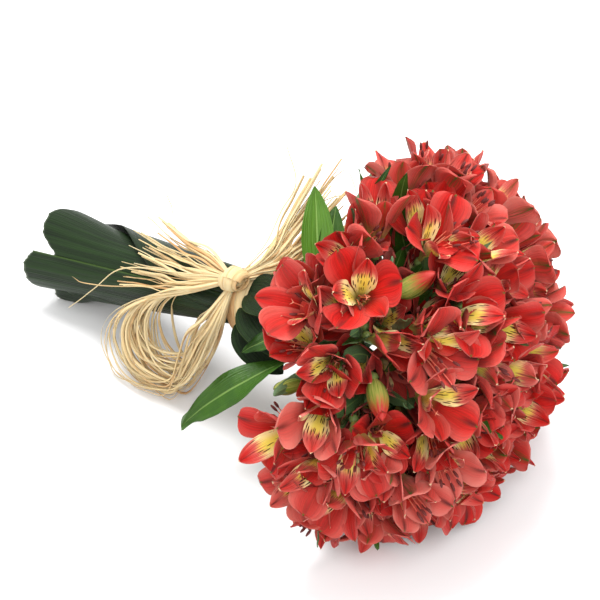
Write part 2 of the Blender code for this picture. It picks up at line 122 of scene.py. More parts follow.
# %% [markdown]
# ## Helpers for node trees
#
# Geometry trees and materials are both made of nodes. One helper puts down a node, sets its
# options and fills its inputs with numbers or with links, so that a tree reads like a recipe.

# %% Helpers for node trees
def put(tree, kind, inputs=(), **options):
    """A new node whose inputs are filled in order, or by name, with values or other sockets."""
    node = tree.nodes.new(kind)
    for key, value in options.items():
        setattr(node, key, value)
    for key, value in inputs.items() if isinstance(inputs, dict) else enumerate(inputs):
        if isinstance(value, bpy.types.NodeSocket):
            tree.links.new(value, node.inputs[key])
        elif value is not None:
            node.inputs[key].default_value = value
    return node


def calc(tree, operation, *values, clamp=False):
    return put(tree, "ShaderNodeMath", values, operation=operation, use_clamp=clamp).outputs[0]


def chain(tree, operation, values, clamp):
    """One math node after another, until all the values are taken up."""
    total = values[0]
    for n, value in enumerate(values[1:], 2):
        total = calc(tree, operation, total, value, clamp=clamp and n == len(values))
    return total


def plus(tree, *values, clamp=False):
    return chain(tree, "ADD", values, clamp)


def times(tree, *values, clamp=False):
    return chain(tree, "MULTIPLY", values, clamp)


def minus(tree, value, taken):
    return calc(tree, "SUBTRACT", value, taken)


def vector_calc(tree, operation, *values):
    node = put(tree, "ShaderNodeVectorMath", values, operation=operation)
    return node.outputs["Value" if operation in ("DOT_PRODUCT", "LENGTH") else "Vector"]


def scaled(tree, vector, factor):
    return vector_calc(tree, "SCALE", vector, None, None, factor)


def vector_sum(tree, *vectors):
    total = vectors[0]
    for vector in vectors[1:]:
        total = vector_calc(tree, "ADD", total, vector)
    return total


def geometry_tree(name, inputs):
    """An empty geometry tree with named inputs, given as name, kind of socket and default."""
    tree = bpy.data.node_groups.new(name, "GeometryNodeTree")
    tree.interface.new_socket("Geometry", in_out="OUTPUT", socket_type="NodeSocketGeometry")
    tree.interface.new_socket("Geometry", in_out="INPUT", socket_type="NodeSocketGeometry")
    for label, kind, default in inputs:
        socket = tree.interface.new_socket(label, in_out="INPUT", socket_type=f"NodeSocket{kind}")
        if default is not None:
            socket.default_value = default
    return tree, tree.nodes.new("NodeGroupInput").outputs


def finish_tree(tree, geometry, finish):
    """Every tree ends the same way: instances made real, a material, the output."""
    real = put(tree, "GeometryNodeRealizeInstances", (geometry,)).outputs[0]
    coated = put(tree, "GeometryNodeSetMaterial", {"Geometry": real, "Material": finish}).outputs[0]
    put(tree, "NodeGroupOutput", (coated,))


def grown(tree, data, values):
    """The plain mesh that a tree makes from this data with these named inputs."""
    holder = add_to_scene("being_grown", data)
    modifier = holder.modifiers.new("growth", "NODES")
    modifier.node_group = tree
    for item in tree.interface.items_tree:
        if item.in_out == "INPUT" and item.name in values:
            modifier[item.identifier] = values[item.name]
    graph = bpy.context.evaluated_depsgraph_get()
    mesh = bpy.data.meshes.new_from_object(holder.evaluated_get(graph), depsgraph=graph)
    bpy.data.objects.remove(holder)
    return mesh


NOTHING = bpy.data.meshes.new("nothing")
print("pieces that need no data grow from an empty mesh:", len(NOTHING.vertices), "points")

# %% [markdown]
# ## A blade that follows a path
#
# Tepals and leaves are the same kind of thing: a thin blade that widens and narrows along a curved
# midrib. One Geometry Nodes tree makes them all. It bends a flat grid over a Bezier path, cups it,
# folds it along the midrib and ruffles its edge. It does so twice, for the face and for the back,
# and joins both along the rim, so that every blade is a closed thin solid. Two attributes, along
# and across, tell the materials where on the blade a point lies.

# %% The path, width and height of a blade
BLADE_INPUTS = (
    ("Start", "Vector", (0, 0, 0)),
    ("Start Handle", "Vector", (0, 0, 0.01)),
    ("End Handle", "Vector", (0, 0, 0.02)),
    ("End", "Vector", (0, 0, 0.03)),
    ("Side", "Vector", (0, 1, 0)),
    ("Half Width", "Float", 0.01),
    ("Foot", "Float", 0.0010),
    ("Base Power", "Float", 1.0),
    ("Tip Power", "Float", 1.0),
    ("Twist", "Float", 0.0),
    ("Cup", "Float", 0.0),
    ("Fold", "Float", 0.0),
    ("Wave", "Float", 0.0),
    ("Wave Count", "Float", 3.0),
    ("Thickness", "Float", 0.0006),
    ("Rows", "Int", 16),
    ("Columns", "Int", 9),
    ("Kind", "Float", 0.0),
    ("Tone", "Float", 0.0),
    ("Seed", "Float", 0.0),
    ("Material", "Material", None),
)
HANDLES = ("Start", "Start Handle", "End Handle", "End")
PATH_STEPS = 24
TIP_CROWDING = 0.6
POINT_WIDTH = 0.00025


def blade_frame(tree, given, along):
    """Where the path runs, and which way is sideways and which way is up along it."""
    path_inputs = {"Resolution": PATH_STEPS, **{name: given[name] for name in HANDLES}}
    path = put(tree, "GeometryNodeCurvePrimitiveBezierSegment", path_inputs).outputs[0]
    sample = put(tree, "GeometryNodeSampleCurve", {"Curves": path, "Factor": along}, mode="FACTOR").outputs
    ahead = vector_calc(tree, "NORMALIZE", sample["Tangent"])
    slip = scaled(tree, ahead, vector_calc(tree, "DOT_PRODUCT", given["Side"], ahead))
    level = vector_calc(tree, "NORMALIZE", vector_calc(tree, "SUBTRACT", given["Side"], slip))
    turned = {"Vector": level, "Axis": ahead, "Angle": times(tree, given["Twist"], along)}
    side = put(tree, "ShaderNodeVectorRotate", turned, rotation_type="AXIS_ANGLE").outputs[0]
    return sample["Position"], side, vector_calc(tree, "CROSS_PRODUCT", ahead, side)


def blade_width(tree, given, along):
    """Half the width: the two powers say where it is widest, and foot and point stay narrow."""

    def swell(where):
        low = calc(tree, "POWER", where, given["Base Power"])
        return times(tree, low, calc(tree, "POWER", minus(tree, 1.0, where), given["Tip Power"]))

    powers = plus(tree, given["Base Power"], given["Tip Power"])
    widest = swell(calc(tree, "DIVIDE", given["Base Power"], powers))
    share = calc(tree, "DIVIDE", swell(along), widest)
    foot = times(tree, given["Foot"], minus(tree, 1.0, along))
    return plus(tree, times(tree, given["Half Width"], share), plus(tree, foot, POINT_WIDTH))


def blade_height(tree, given, along, across, width):
    """How far each point is lifted by the cup, the fold along the midrib and the ruffled edge."""
    square = times(tree, across, across)
    folded = times(tree, given["Fold"], calc(tree, "ABSOLUTE", across))
    bowl = times(tree, plus(tree, times(tree, given["Cup"], square), folded), width)
    waves = (times(tree, along, given["Wave Count"]), across, given["Seed"])
    spot = put(tree, "ShaderNodeCombineXYZ", waves).outputs[0]
    noise = put(tree, "ShaderNodeTexNoise", {"Vector": spot, "Scale": 1.0, "Detail": 1.0}).outputs[0]
    ripple = times(tree, minus(tree, noise, 0.5), given["Wave"])
    edge = times(tree, plus(tree, square, 0.25), times(tree, along, 2.0))
    return plus(tree, bowl, times(tree, ripple, edge))


print("blade inputs:", ", ".join(name for name, _, _ in BLADE_INPUTS))

# %% The blade tree
RIM_ANGLE = math.radians(60)
MERGE_DISTANCE = 0.000008
END_SHARPNESS = 10.0


def stored(tree, geometry, name, value, domain="POINT"):
    inputs = {"Geometry": geometry, "Name": name, "Value": value}
    node = put(tree, "GeometryNodeStoreNamedAttribute", inputs, data_type="FLOAT", domain=domain)
    return node.outputs[0]


def closed_blade(tree, skins):
    """Both skins joined along the rim, which keeps a crisp edge in the shading."""
    flipped = put(tree, "GeometryNodeFlipFaces", (skins[1],)).outputs[0]
    both = tree.nodes.new("GeometryNodeJoinGeometry")
    tree.links.new(flipped, both.inputs[0])
    tree.links.new(skins[0], both.inputs[0])
    merge_inputs = {"Geometry": both.outputs[0], "Distance": MERGE_DISTANCE}
    closed = put(tree, "GeometryNodeMergeByDistance", merge_inputs).outputs[0]
    angle = put(tree, "GeometryNodeInputMeshEdgeAngle").outputs["Unsigned Angle"]
    sharp = put(tree, "FunctionNodeCompare", (angle, RIM_ANGLE), operation="GREATER_THAN").outputs[0]
    shade_inputs = {"Geometry": closed, "Selection": sharp, "Shade Smooth": False}
    return put(tree, "GeometryNodeSetShadeSmooth", shade_inputs, domain="EDGE").outputs[0]


def blade_tree():
    tree, given = geometry_tree("blade along a path", BLADE_INPUTS)
    grid_inputs = {"Size X": 1.0, "Size Y": 1.0, "Vertices X": given["Rows"], "Vertices Y": given["Columns"]}
    grid = put(tree, "GeometryNodeMeshGrid", grid_inputs).outputs["Mesh"]
    flat = put(tree, "ShaderNodeSeparateXYZ", (put(tree, "GeometryNodeInputPosition").outputs[0],)).outputs
    even = plus(tree, flat[0], 0.5)
    arch = times(tree, even, minus(tree, 1.0, even))
    along = plus(tree, even, times(tree, arch, TIP_CROWDING))
    across = calc(tree, "SINE", times(tree, flat[1], math.pi))
    middle, side, upward = blade_frame(tree, given, along)
    width = blade_width(tree, given, along)
    height = blade_height(tree, given, along, across, width)

    falling = minus(tree, 1.0, times(tree, across, across))
    rim = calc(tree, "SQRT", calc(tree, "MAXIMUM", falling, 0.0))
    ends = times(tree, arch, END_SHARPNESS, clamp=True)
    half = times(tree, rim, ends, given["Thickness"], 0.5)
    named = grid
    looks = {"along": along, "across": across, "kind": given["Kind"], "tone": given["Tone"]}
    for label, value in looks.items():
        named = stored(tree, named, label, value)
    sideways = scaled(tree, side, times(tree, across, width))
    skins = []
    for back, shift in ((0.0, half), (1.0, times(tree, half, -1.0))):
        lifted = scaled(tree, upward, plus(tree, height, shift))
        place = vector_sum(tree, middle, sideways, lifted)
        skin = put(tree, "GeometryNodeSetPosition", {"Geometry": named, "Position": place}).outputs[0]
        skins.append(stored(tree, skin, "back", back, "FACE"))
    finish_tree(tree, closed_blade(tree, skins), given["Material"])
    return tree


BLADE = blade_tree()
print("blade tree:", len(BLADE.nodes), "nodes")

# %% [markdown]
# ## Where every bloom sits
#
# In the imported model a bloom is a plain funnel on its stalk. Its floor is a small flat face with
# twelve corners, square to the bloom's axis, and the stalk begins with another such face at the
# knuckle of the stem. Finding these faces by their area gives each bloom's seat: the place of its
# ovary and the direction it faces. So the petals need no list of places of their own.

# %% Read the seats from the frame
FLOOR_RADIUS = 0.0016
FLOOR_HEIGHT = 0.010
START_RADIUS = 0.0013
BUD_TIP_RADIUS = 0.0012
BUD_LENGTH = 0.040
CORNERS = 12
SAME_AREA = 0.03


def polygon_area(radius):
    return 0.5 * CORNERS * radius**2 * math.sin(math.tau / CORNERS)


def flat_faces(node):
    """Centre, direction and area of each flat face with many corners on a CAD node."""
    shape = bmesh.new()
    shape.from_mesh(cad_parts[node].data)
    bmesh.ops.remove_doubles(shape, verts=shape.verts, dist=0.00001)
    bmesh.ops.dissolve_limit(shape, angle_limit=math.radians(0.5), verts=shape.verts, edges=shape.edges)
    found = [
        (face.calc_center_median(), face.normal.copy(), face.calc_area())
        for face in shape.faces
        if len(face.verts) == CORNERS
    ]
    shape.free()
    return found


def faces_of_size(faces, radius):
    area = polygon_area(radius)
    return [(centre, normal) for centre, normal, size in faces if abs(size / area - 1) < SAME_AREA]


def seats(node):
    """The start of a ray's stalk, and the ovary and direction of each of its flowers."""
    faces = flat_faces(node)
    start = faces_of_size(faces, START_RADIUS)[0][0]
    if node.startswith("bud"):
        tips = faces_of_size(faces, BUD_TIP_RADIUS)
        return start, [(centre - normal * BUD_LENGTH, normal) for centre, normal in tips]
    floors = faces_of_size(faces, FLOOR_RADIUS)
    return start, [(centre - normal * FLOOR_HEIGHT, normal) for centre, normal in floors]


RAYS = {node: seats(node) for node in sorted(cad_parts) if "_ray_" in node}
print("rays:", len(RAYS), "flowers:", sum(len(flowers) for _, flowers in RAYS.values()))

# %% [markdown]
# ## One bloom
#
# An alstroemeria has six tepals in two rings of three. The outer three are broad and rounded, on
# narrow claws. The inner three are slimmer and pointed, and the upper two carry the yellow patch
# with dark dashes that guides bees. The lower inner one is plain. Each tepal is a blade whose path
# leaves the ovary, runs up the funnel and then bends outwards, more on a bloom that is older.

# %% Tepal shapes
# Each path is given by four points in the bloom's own plane: how far out, and how far up. The
# second set belongs to a bloom that has just opened, and a bloom's openness blends the two.
OUTER_OPEN = ((0.0016, 0.0015), (0.0040, 0.0170), (0.0150, 0.0335), (0.0275, 0.0385))
OUTER_SHUT = ((0.0016, 0.0015), (0.0050, 0.0170), (0.0100, 0.0340), (0.0120, 0.0480))
INNER_OPEN = ((0.0013, 0.0020), (0.0048, 0.0160), (0.0095, 0.0350), (0.0215, 0.0455))
INNER_SHUT = ((0.0013, 0.0020), (0.0045, 0.0160), (0.0068, 0.0340), (0.0075, 0.0490))
LOWER_OPEN = ((0.0013, 0.0020), (0.0050, 0.0150), (0.0130, 0.0330), (0.0260, 0.0400))
TEPALS = (("outer", 0), ("inner", 60), ("outer", 120), ("lower", 180), ("outer", 240), ("inner", 300))
SHAPES = {
    "outer": {"Half Width": 0.0138, "Base Power": 2.3, "Tip Power": 0.52, "Cup": 0.20, "Wave": 0.0045},
    "inner": {"Half Width": 0.0074, "Base Power": 1.7, "Tip Power": 0.85, "Cup": 0.30, "Wave": 0.0040},
    "lower": {"Half Width": 0.0082, "Base Power": 1.9, "Tip Power": 0.80, "Cup": 0.25, "Wave": 0.0040},
}
PATHS = {
    "outer": (OUTER_OPEN, OUTER_SHUT),
    "inner": (INNER_OPEN, INNER_SHUT),
    "lower": (LOWER_OPEN, INNER_SHUT),
}
KINDS = {"outer": 0.0, "inner": 1.0, "lower": 0.5}
DISORDER = (0.0, 0.0004, 0.0020, 0.0048)
TEPAL_THICKNESS = 0.00045
TEPAL_FOOT = 0.0011
STILL = Matrix.Identity(4)


def tepal_path(form, openness, chance):
    """The four points of a tepal's path, with a little disorder that grows towards the tip."""
    points = {}
    for n, (wide, narrow) in enumerate(zip(*PATHS[form])):
        out = narrow[0] + (wide[0] - narrow[0]) * openness
        up = narrow[1] + (wide[1] - narrow[1]) * openness
        shift = [chance.uniform(-DISORDER[n], DISORDER[n]) for _ in range(3)]
        points[HANDLES[n]] = (out + shift[0], shift[1], up + shift[2])
    return points


def joined(name, parts):
    """One mesh from several, each turned by its own matrix, with their materials kept apart."""
    shape = bmesh.new()
    finishes = []
    for mesh, matrix in parts:
        for finish in mesh.materials:
            if finish not in finishes:
                finishes.append(finish)
        order = [finishes.index(finish) for finish in mesh.materials]
        first_face = len(shape.faces)
        mesh.transform(matrix)
        shape.from_mesh(mesh)
        shape.faces.ensure_lookup_table()
        for face in shape.faces[first_face:]:
            face.material_index = order[face.material_index]
        bpy.data.meshes.remove(mesh)
    made = bpy.data.meshes.new(name)
    shape.to_mesh(made)
    shape.free()
    for finish in finishes:
        made.materials.append(finish)
    return made


print("tepals of a bloom:", [form for form, _ in TEPALS])

# %% [markdown]
# ## Stalks, filaments and anthers
#
# Everything round and thin is a tube along a curve: stems, flower stalks, the filaments of the
# stamens. The second tree sweeps a circle along all splines of a curve object at once and takes
# the thickness from the radius of each point, so a stalk can swell into an ovary. A flattened
# circle makes ribbons of straw. The third tree puts one oval anther on the end of every filament,
# turned the way the filament points.

# %% The tube tree and the anther tree
TUBE_INPUTS = (
    ("Sides", "Int", 8),
    ("Flatness", "Float", 1.0),
    ("Seed", "Int", 1),
    ("Material", "Material", None),
)
ANTHER_INPUTS = (
    ("Width", "Float", 0.0010),
    ("Length", "Float", 0.0031),
    ("Seed", "Int", 1),
    ("Material", "Material", None),
)


def along_and_tone(tree, curve, seed):
    """Stores how far along its spline each point is, and one random tone for each spline."""
    factor = put(tree, "GeometryNodeSplineParameter").outputs["Factor"]
    named = stored(tree, curve, "along", factor)
    number = put(tree, "GeometryNodeInputIndex").outputs[0]
    draw = put(tree, "FunctionNodeRandomValue", {"ID": number, "Seed": seed}, data_type="FLOAT")
    return stored(tree, named, "tone", draw.outputs[1], "CURVE")


def tube_tree():
    tree, given = geometry_tree("tube along each spline", TUBE_INPUTS)
    named = along_and_tone(tree, given["Geometry"], given["Seed"])
    circle_inputs = {"Resolution": given["Sides"], "Radius": 1.0}
    circle = put(tree, "GeometryNodeCurvePrimitiveCircle", circle_inputs).outputs["Curve"]
    squash = put(tree, "ShaderNodeCombineXYZ", (given["Flatness"], 1.0, 1.0)).outputs[0]
    oval = put(tree, "GeometryNodeTransform", {"Geometry": circle, "Scale": squash}).outputs[0]
    oval = stored(tree, oval, "around", put(tree, "GeometryNodeSplineParameter").outputs["Factor"])
    radius = put(tree, "GeometryNodeInputRadius").outputs[0]
    inputs = {"Curve": named, "Profile Curve": oval, "Scale": radius, "Fill Caps": True}
    tube = put(tree, "GeometryNodeCurveToMesh", inputs).outputs[0]
    finish_tree(tree, tube, given["Material"])
    return tree


def anther_tree():
    tree, given = geometry_tree("anther on each spline", ANTHER_INPUTS)
    named = along_and_tone(tree, given["Geometry"], given["Seed"])
    ends = put(tree, "GeometryNodeCurveEndpointSelection", {"Start Size": 0, "End Size": 1}).outputs[0]
    ball = put(tree, "GeometryNodeMeshUVSphere", {"Segments": 8, "Rings": 6, "Radius": 1.0}).outputs[0]
    size = put(tree, "ShaderNodeCombineXYZ", (given["Width"], given["Width"], given["Length"])).outputs[0]
    oval = put(tree, "GeometryNodeTransform", {"Geometry": ball, "Scale": size}).outputs[0]
    oval = put(tree, "GeometryNodeSetShadeSmooth", {"Geometry": oval}).outputs[0]
    tangent = put(tree, "GeometryNodeInputTangent").outputs[0]
    turn = put(tree, "FunctionNodeAlignRotationToVector", {"Vector": tangent}, axis="Z").outputs[0]
    inputs = {"Points": named, "Selection": ends, "Instance": oval, "Rotation": turn}
    placed = put(tree, "GeometryNodeInstanceOnPoints", inputs).outputs[0]
    finish_tree(tree, placed, given["Material"])
    return tree


TUBE = tube_tree()
ANTHERS = anther_tree()


def curve_data(routes):
    """A curve object's data with one open spline for each list of points with radii."""
    data = bpy.data.curves.new("routes", "CURVE")
    data.dimensions = "3D"
    for route in routes:
        spline = data.splines.new("POLY")
        spline.points.add(len(route) - 1)
        for control, (point, radius, *tilt) in zip(spline.points, route):
            control.co = (*point, 1.0)
            control.radius = radius
            control.tilt = sum(tilt)
    return data


def bezier_route(guides, radii, count):
    """Points on a cubic Bezier curve, with radii read off a list spread over its length."""
    start, leaving, coming, end = (Vector(guide) for guide in guides)
    route = []
    for n in range(count):
        t = n / (count - 1)
        rest = 1 - t
        point = start * rest**3 + leaving * (3 * t * rest**2) + coming * (3 * t**2 * rest) + end * t**3
        k = min(int(t * (len(radii) - 1)), len(radii) - 2)
        share = t * (len(radii) - 1) - k
        route.append((point, radii[k] + (radii[k + 1] - radii[k]) * share))
    return route


print("tube and anther trees:", len(TUBE.nodes), "and", len(ANTHERS.nodes), "nodes")

# %% [markdown]
# ## Helpers for materials
#
# The materials read the attributes that the trees stored. Where materials share an effect, it is a
# node group with its own inputs: fine lengthwise veins, which petals, leaves and straw all have.
# The dark dashes of the inner tepals are a group too, so that the petal material stays readable.

# %% Helpers for materials
BUMP_STRENGTH = 0.6


def new_material(name, roughness, **plain):
    """A material, its tree and its Principled shader with values that are the same all over."""
    made = bpy.data.materials.new(name)
    made.use_nodes = True
    tree = made.node_tree
    shader = tree.nodes["Principled BSDF"]
    shader.inputs["Roughness"].default_value = roughness
    for label, value in plain.items():
        shader.inputs[label.replace("_", " ")].default_value = value
    return made, tree, shader


def attributes(tree, *names):
    return [put(tree, "ShaderNodeAttribute", attribute_name=name).outputs["Fac"] for name in names]


def mixed(tree, factor, first, second):
    node = put(tree, "ShaderNodeMix", data_type="RGBA")
    for index, value in ((0, factor), (6, first), (7, second)):
        if isinstance(value, bpy.types.NodeSocket):
            tree.links.new(value, node.inputs[index])
        else:
            node.inputs[index].default_value = value if index == 0 else (*value, 1.0)
    return node.outputs[2]


def between(tree, value, low, high):
    """A soft step: how far a value has come from low to high."""
    return put(tree, "ShaderNodeMapRange", (value, low, high), interpolation_type="SMOOTHSTEP").outputs[0]


def grain(tree, scale, detail=3.0):
    """Noise that reads the piece's own place."""
    place = put(tree, "ShaderNodeTexCoord").outputs["Object"]
    return put(tree, "ShaderNodeTexNoise", {"Vector": place, "Scale": scale, "Detail": detail}).outputs[0]


def painted(tree, shader, colour, height=None, depth=0.0):
    """Links the colour, and a bump of the given depth, to the shader."""
    tree.links.new(colour, shader.inputs["Base Color"])
    if height is not None:
        bump_inputs = {"Strength": BUMP_STRENGTH, "Distance": depth, "Height": height}
        tree.links.new(put(tree, "ShaderNodeBump", bump_inputs).outputs[0], shader.inputs["Normal"])


def shader_group(name, inputs, outputs):
    """An empty shader group; inputs are pairs of a name and a default number."""
    tree = bpy.data.node_groups.new(name, "ShaderNodeTree")
    for label, default in inputs:
        socket = tree.interface.new_socket(label, in_out="INPUT", socket_type="NodeSocketFloat")
        socket.default_value = default
    for label in outputs:
        tree.interface.new_socket(label, in_out="OUTPUT", socket_type="NodeSocketFloat")
    return tree, tree.nodes.new("NodeGroupInput").outputs


def use_group(tree, group, inputs):
    node = tree.nodes.new("ShaderNodeGroup")
    node.node_tree = group
    for label, value in inputs.items():
        if isinstance(value, bpy.types.NodeSocket):
            tree.links.new(value, node.inputs[label])
        else:
            node.inputs[label].default_value = value
    return node.outputs[0]


def stretched(tree, given, along_scale, across_scale):
    """A place on the blade, drawn out along it or across it, and shifted by the seed."""
    x = times(tree, given["Along"], given[along_scale])
    y = times(tree, given["Across"], given[across_scale])
    return put(tree, "ShaderNodeCombineXYZ", (x, y, given["Seed"])).outputs[0]


def vein_group():
    """Fine lines that run lengthwise: noise stretched along the blade."""
    inputs = (("Along", 0.0), ("Across", 0.0), ("Count", 20.0), ("Drift", 2.0), ("Seed", 0.0))
    tree, given = shader_group("lengthwise veins", inputs, ("Lines",))
    spot = stretched(tree, given, "Drift", "Count")
    noise = put(tree, "ShaderNodeTexNoise", {"Vector": spot, "Scale": 1.0, "Detail": 2.0}).outputs[0]
    put(tree, "NodeGroupOutput", (between(tree, noise, 0.3, 0.7),))
    return tree


def dash_group():
    """Short dark dashes in lanes: stretched cells whose hearts are cut out."""
    inputs = (("Along", 0.0), ("Across", 0.0), ("Lanes", 4.0), ("Steps", 9.0), ("Seed", 0.0))
    tree, given = shader_group("dashes in lanes", inputs, ("Dashes",))
    cell_inputs = {"Vector": stretched(tree, given, "Steps", "Lanes"), "Scale": 1.0, "Randomness": 0.75}
    cells = put(tree, "ShaderNodeTexVoronoi", cell_inputs, voronoi_dimensions="3D").outputs["Distance"]
    put(tree, "NodeGroupOutput", (between(tree, cells, 0.39, 0.27),))
    return tree


VEINS = vein_group()
DASHES = dash_group()
print("shared shader groups:", VEINS.name, "and", DASHES.name)

# %% [markdown]
# ## Petals
#
# An outer tepal is coral red and paler pink towards its margin. Near the foot it turns deeper red,
# partly its own colour and partly painted shade of the throat. A dark streak runs up its middle into a
# green point, and its back is paler, with a fan of olive veins. The upper inner tepals are yellow with
# maroon dashes up to the middle, then blush to red with a pale point.
# All claws turn yellow green near the ovary, which shows where a bloom is seen from behind. How
# pink, dark or faded a tepal is follows its tone, so no two are quite the same.

# %% The petal material
CORAL = (0.480, 0.010, 0.008)
DEEP_RED_AND_THROAT_SHADE = (0.180, 0.0015, 0.002)
PINK = (0.580, 0.150, 0.120)
MAROON = (0.045, 0.005, 0.007)
NECTAR_LEMON = (0.900, 0.740, 0.120)
NECTAR_CREAM = (0.960, 0.780, 0.360)
OLIVE = (0.110, 0.075, 0.016)
CLAW_GREEN = (0.460, 0.440, 0.090)
TIP_GREEN = (0.050, 0.100, 0.018)
PALE_POINT = (0.780, 0.560, 0.330)


def red_blade(tree, along, away, back, tone, lines):
    """Coral red with a pink margin, a dark streak up the middle and olive veins; the deep red near the foot
    is partly painted shade of the throat.
    """
    lively = plus(tree, 0.20, times(tree, tone, 0.45))
    margin = times(tree, between(tree, away, 0.25, 1.0), lively)
    fade = times(tree, calc(tree, "POWER", tone, 4.0), 0.60)
    paler = plus(tree, times(tree, back, 0.14), fade)
    pinkness = times(tree, plus(tree, margin, paler), 0.80, clamp=True)
    # The deep red near the foot is partly the throat's own colour and partly painted shade of the throat; the
    # veins add their own darker red.
    depth = plus(tree, times(tree, lines, 0.5), between(tree, along, 0.60, 0.20), clamp=True)
    blade = mixed(tree, pinkness, mixed(tree, depth, CORAL, DEEP_RED_AND_THROAT_SHADE), PINK)
    streak = times(tree, between(tree, along, 0.66, 0.92), between(tree, away, 0.26, 0.01))
    plain = calc(tree, "FRACT", times(tree, tone, 7.3))
    shade = minus(tree, 0.90, times(tree, plain, 0.60))
    blade = mixed(tree, times(tree, streak, shade), blade, MAROON)
    fan = times(tree, between(tree, away, 0.50, 0.02), between(tree, lines, 0.15, 0.75))
    fan = times(tree, fan, plus(tree, times(tree, back, 0.65), 0.08))
    return mixed(tree, fan, blade, OLIVE)


def outer_tepal(tree, blade, along, away, back):
    """The green point, which reaches further down on the back."""
    green_tip = times(tree, between(tree, along, 0.955, 0.99), between(tree, away, 0.22, 0.05))
    green_back = times(tree, between(tree, along, 0.85, 0.94), between(tree, away, 0.12, 0.03))
    green = calc(tree, "MAXIMUM", green_tip, times(tree, green_back, back))
    return mixed(tree, green, blade, TIP_GREEN)


def inner_tepal(tree, blade, along, away, back, lines, dashes):
    """The yellow patch with its dashes, the blush beyond it and the pale point."""
    reach = plus(tree, along, times(tree, lines, 0.10))
    patch = times(tree, between(tree, along, 0.12, 0.24), between(tree, reach, 0.80, 0.64))
    blade = mixed(tree, times(tree, between(tree, reach, 0.94, 0.70), 0.75), blade, PINK)
    nectar = mixed(tree, between(tree, away, 0.15, 0.85), NECTAR_LEMON, NECTAR_CREAM)
    inner = mixed(tree, patch, blade, nectar)
    zone = times(tree, between(tree, along, 0.16, 0.26), between(tree, along, 0.88, 0.72))
    front = minus(tree, 1.0, times(tree, back, 0.75))
    inner = mixed(tree, times(tree, dashes, zone, front), inner, MAROON)
    return mixed(tree, between(tree, along, 0.980, 0.998), inner, PALE_POINT)


def petal_material():
    soft = {"Subsurface_Weight": 0.12, "Subsurface_Radius": (0.004, 0.001, 0.0008), "Subsurface_Scale": 1.0}
    made, tree, shader = new_material("petal", 0.48, Sheen_Weight=0.02, Specular_IOR_Level=0.10, **soft)
    along, across, back, kind, tone = attributes(tree, "along", "across", "back", "kind", "tone")
    away = calc(tree, "ABSOLUTE", across)
    spot = {"Along": along, "Across": across, "Seed": times(tree, tone, 37.0)}
    lines = use_group(tree, VEINS, {**spot, "Count": 16.0})
    dashes = use_group(tree, DASHES, {**spot, "Lanes": 7.0, "Steps": 5.0})
    blade = red_blade(tree, along, away, back, tone, lines)
    outer = outer_tepal(tree, blade, along, away, back)
    inner = inner_tepal(tree, blade, along, away, back, lines, dashes)
    colour = mixed(tree, between(tree, kind, 0.7, 0.9), outer, inner)
    claw = between(tree, along, plus(tree, 0.40, times(tree, back, 0.22)), 0.12)
    claw_lines = plus(tree, 0.55, times(tree, lines, 0.45))
    painted(tree, shader, mixed(tree, times(tree, claw, claw_lines), colour, CLAW_GREEN), lines, 0.00025)
    return made


PETAL = petal_material()
print("petal material:", len(PETAL.node_tree.nodes), "nodes")

# %% [markdown]
# ## Stamens and stalks
#
# The filaments are flushed with red, the anthers are dark maroon, and the stalks are green with a
# tinge of red near the bloom. They are small, so a few tones along each are enough.

# %% Small materials of a bloom
FILAMENT_RED = (0.620, 0.060, 0.045)
FILAMENT_PALE = (0.800, 0.420, 0.260)
ANTHER_DARK = (0.110, 0.012, 0.010)
ANTHER_WORN = (0.260, 0.060, 0.040)
STALK_GREEN = (0.085, 0.150, 0.030)
STALK_LIGHT = (0.210, 0.290, 0.080)


def toned_material(name, low, high, roughness, scale, depth):
    """Two tones that change along the piece and in grains, with a bump from the same grain."""
    made, tree, shader = new_material(name, roughness)
    noise = grain(tree, scale)
    share = plus(tree, *attributes(tree, "along"), minus(tree, noise, 0.5), clamp=True)
    painted(tree, shader, mixed(tree, share, low, high), noise, depth)
    return made


FILAMENT = toned_material("filament", FILAMENT_PALE, FILAMENT_RED, 0.4, 900.0, 0.00005)
ANTHER = toned_material("anther", ANTHER_WORN, ANTHER_DARK, 0.7, 2500.0, 0.00015)
STALK = toned_material("stalk", STALK_GREEN, STALK_LIGHT, 0.45, 500.0, 0.0001)
print("small materials:", FILAMENT.name, ANTHER.name, STALK.name)

# %% Stamens and style of one bloom
STAMEN_COUNT = 6
STRETCHED_SHARE = 0.4
UNSTRETCHED_REACH = 0.55
FILAMENT_RADIUS = 0.00045
STYLE_RADIUS = 0.0005
STIGMA_LENGTH = 0.0022


def stamen_routes(openness, chance):
    """Filaments that rise in the throat and lean out over the lower tepal, each its own way.

    In some blooms the stamens have stretched, and in the others they still hide in the throat.
    """
    routes = []
    stage = 1.0 if chance.random() < STRETCHED_SHARE else UNSTRETCHED_REACH
    for k in range(STAMEN_COUNT):
        angle = math.tau * (k + chance.uniform(-0.2, 0.2)) / STAMEN_COUNT
        across = Vector((math.cos(angle), math.sin(angle), 0.0))
        reach = chance.uniform(0.80, 1.12) * stage
        lean = Vector((-0.010 * openness, 0.0, 0.0))
        guides = (
            across * 0.0012 + Vector((0, 0, 0.003)),
            across * 0.0028 + Vector((0, 0, 0.017)),
            across * 0.0050 * openness + lean * 0.7 + Vector((0, 0, 0.032 * reach)),
            across * 0.0085 * openness + lean * 1.3 + Vector((0, 0, 0.041 * reach)),
        )
        routes.append(bezier_route(guides, (FILAMENT_RADIUS, 0.7 * FILAMENT_RADIUS), 8))
    return routes


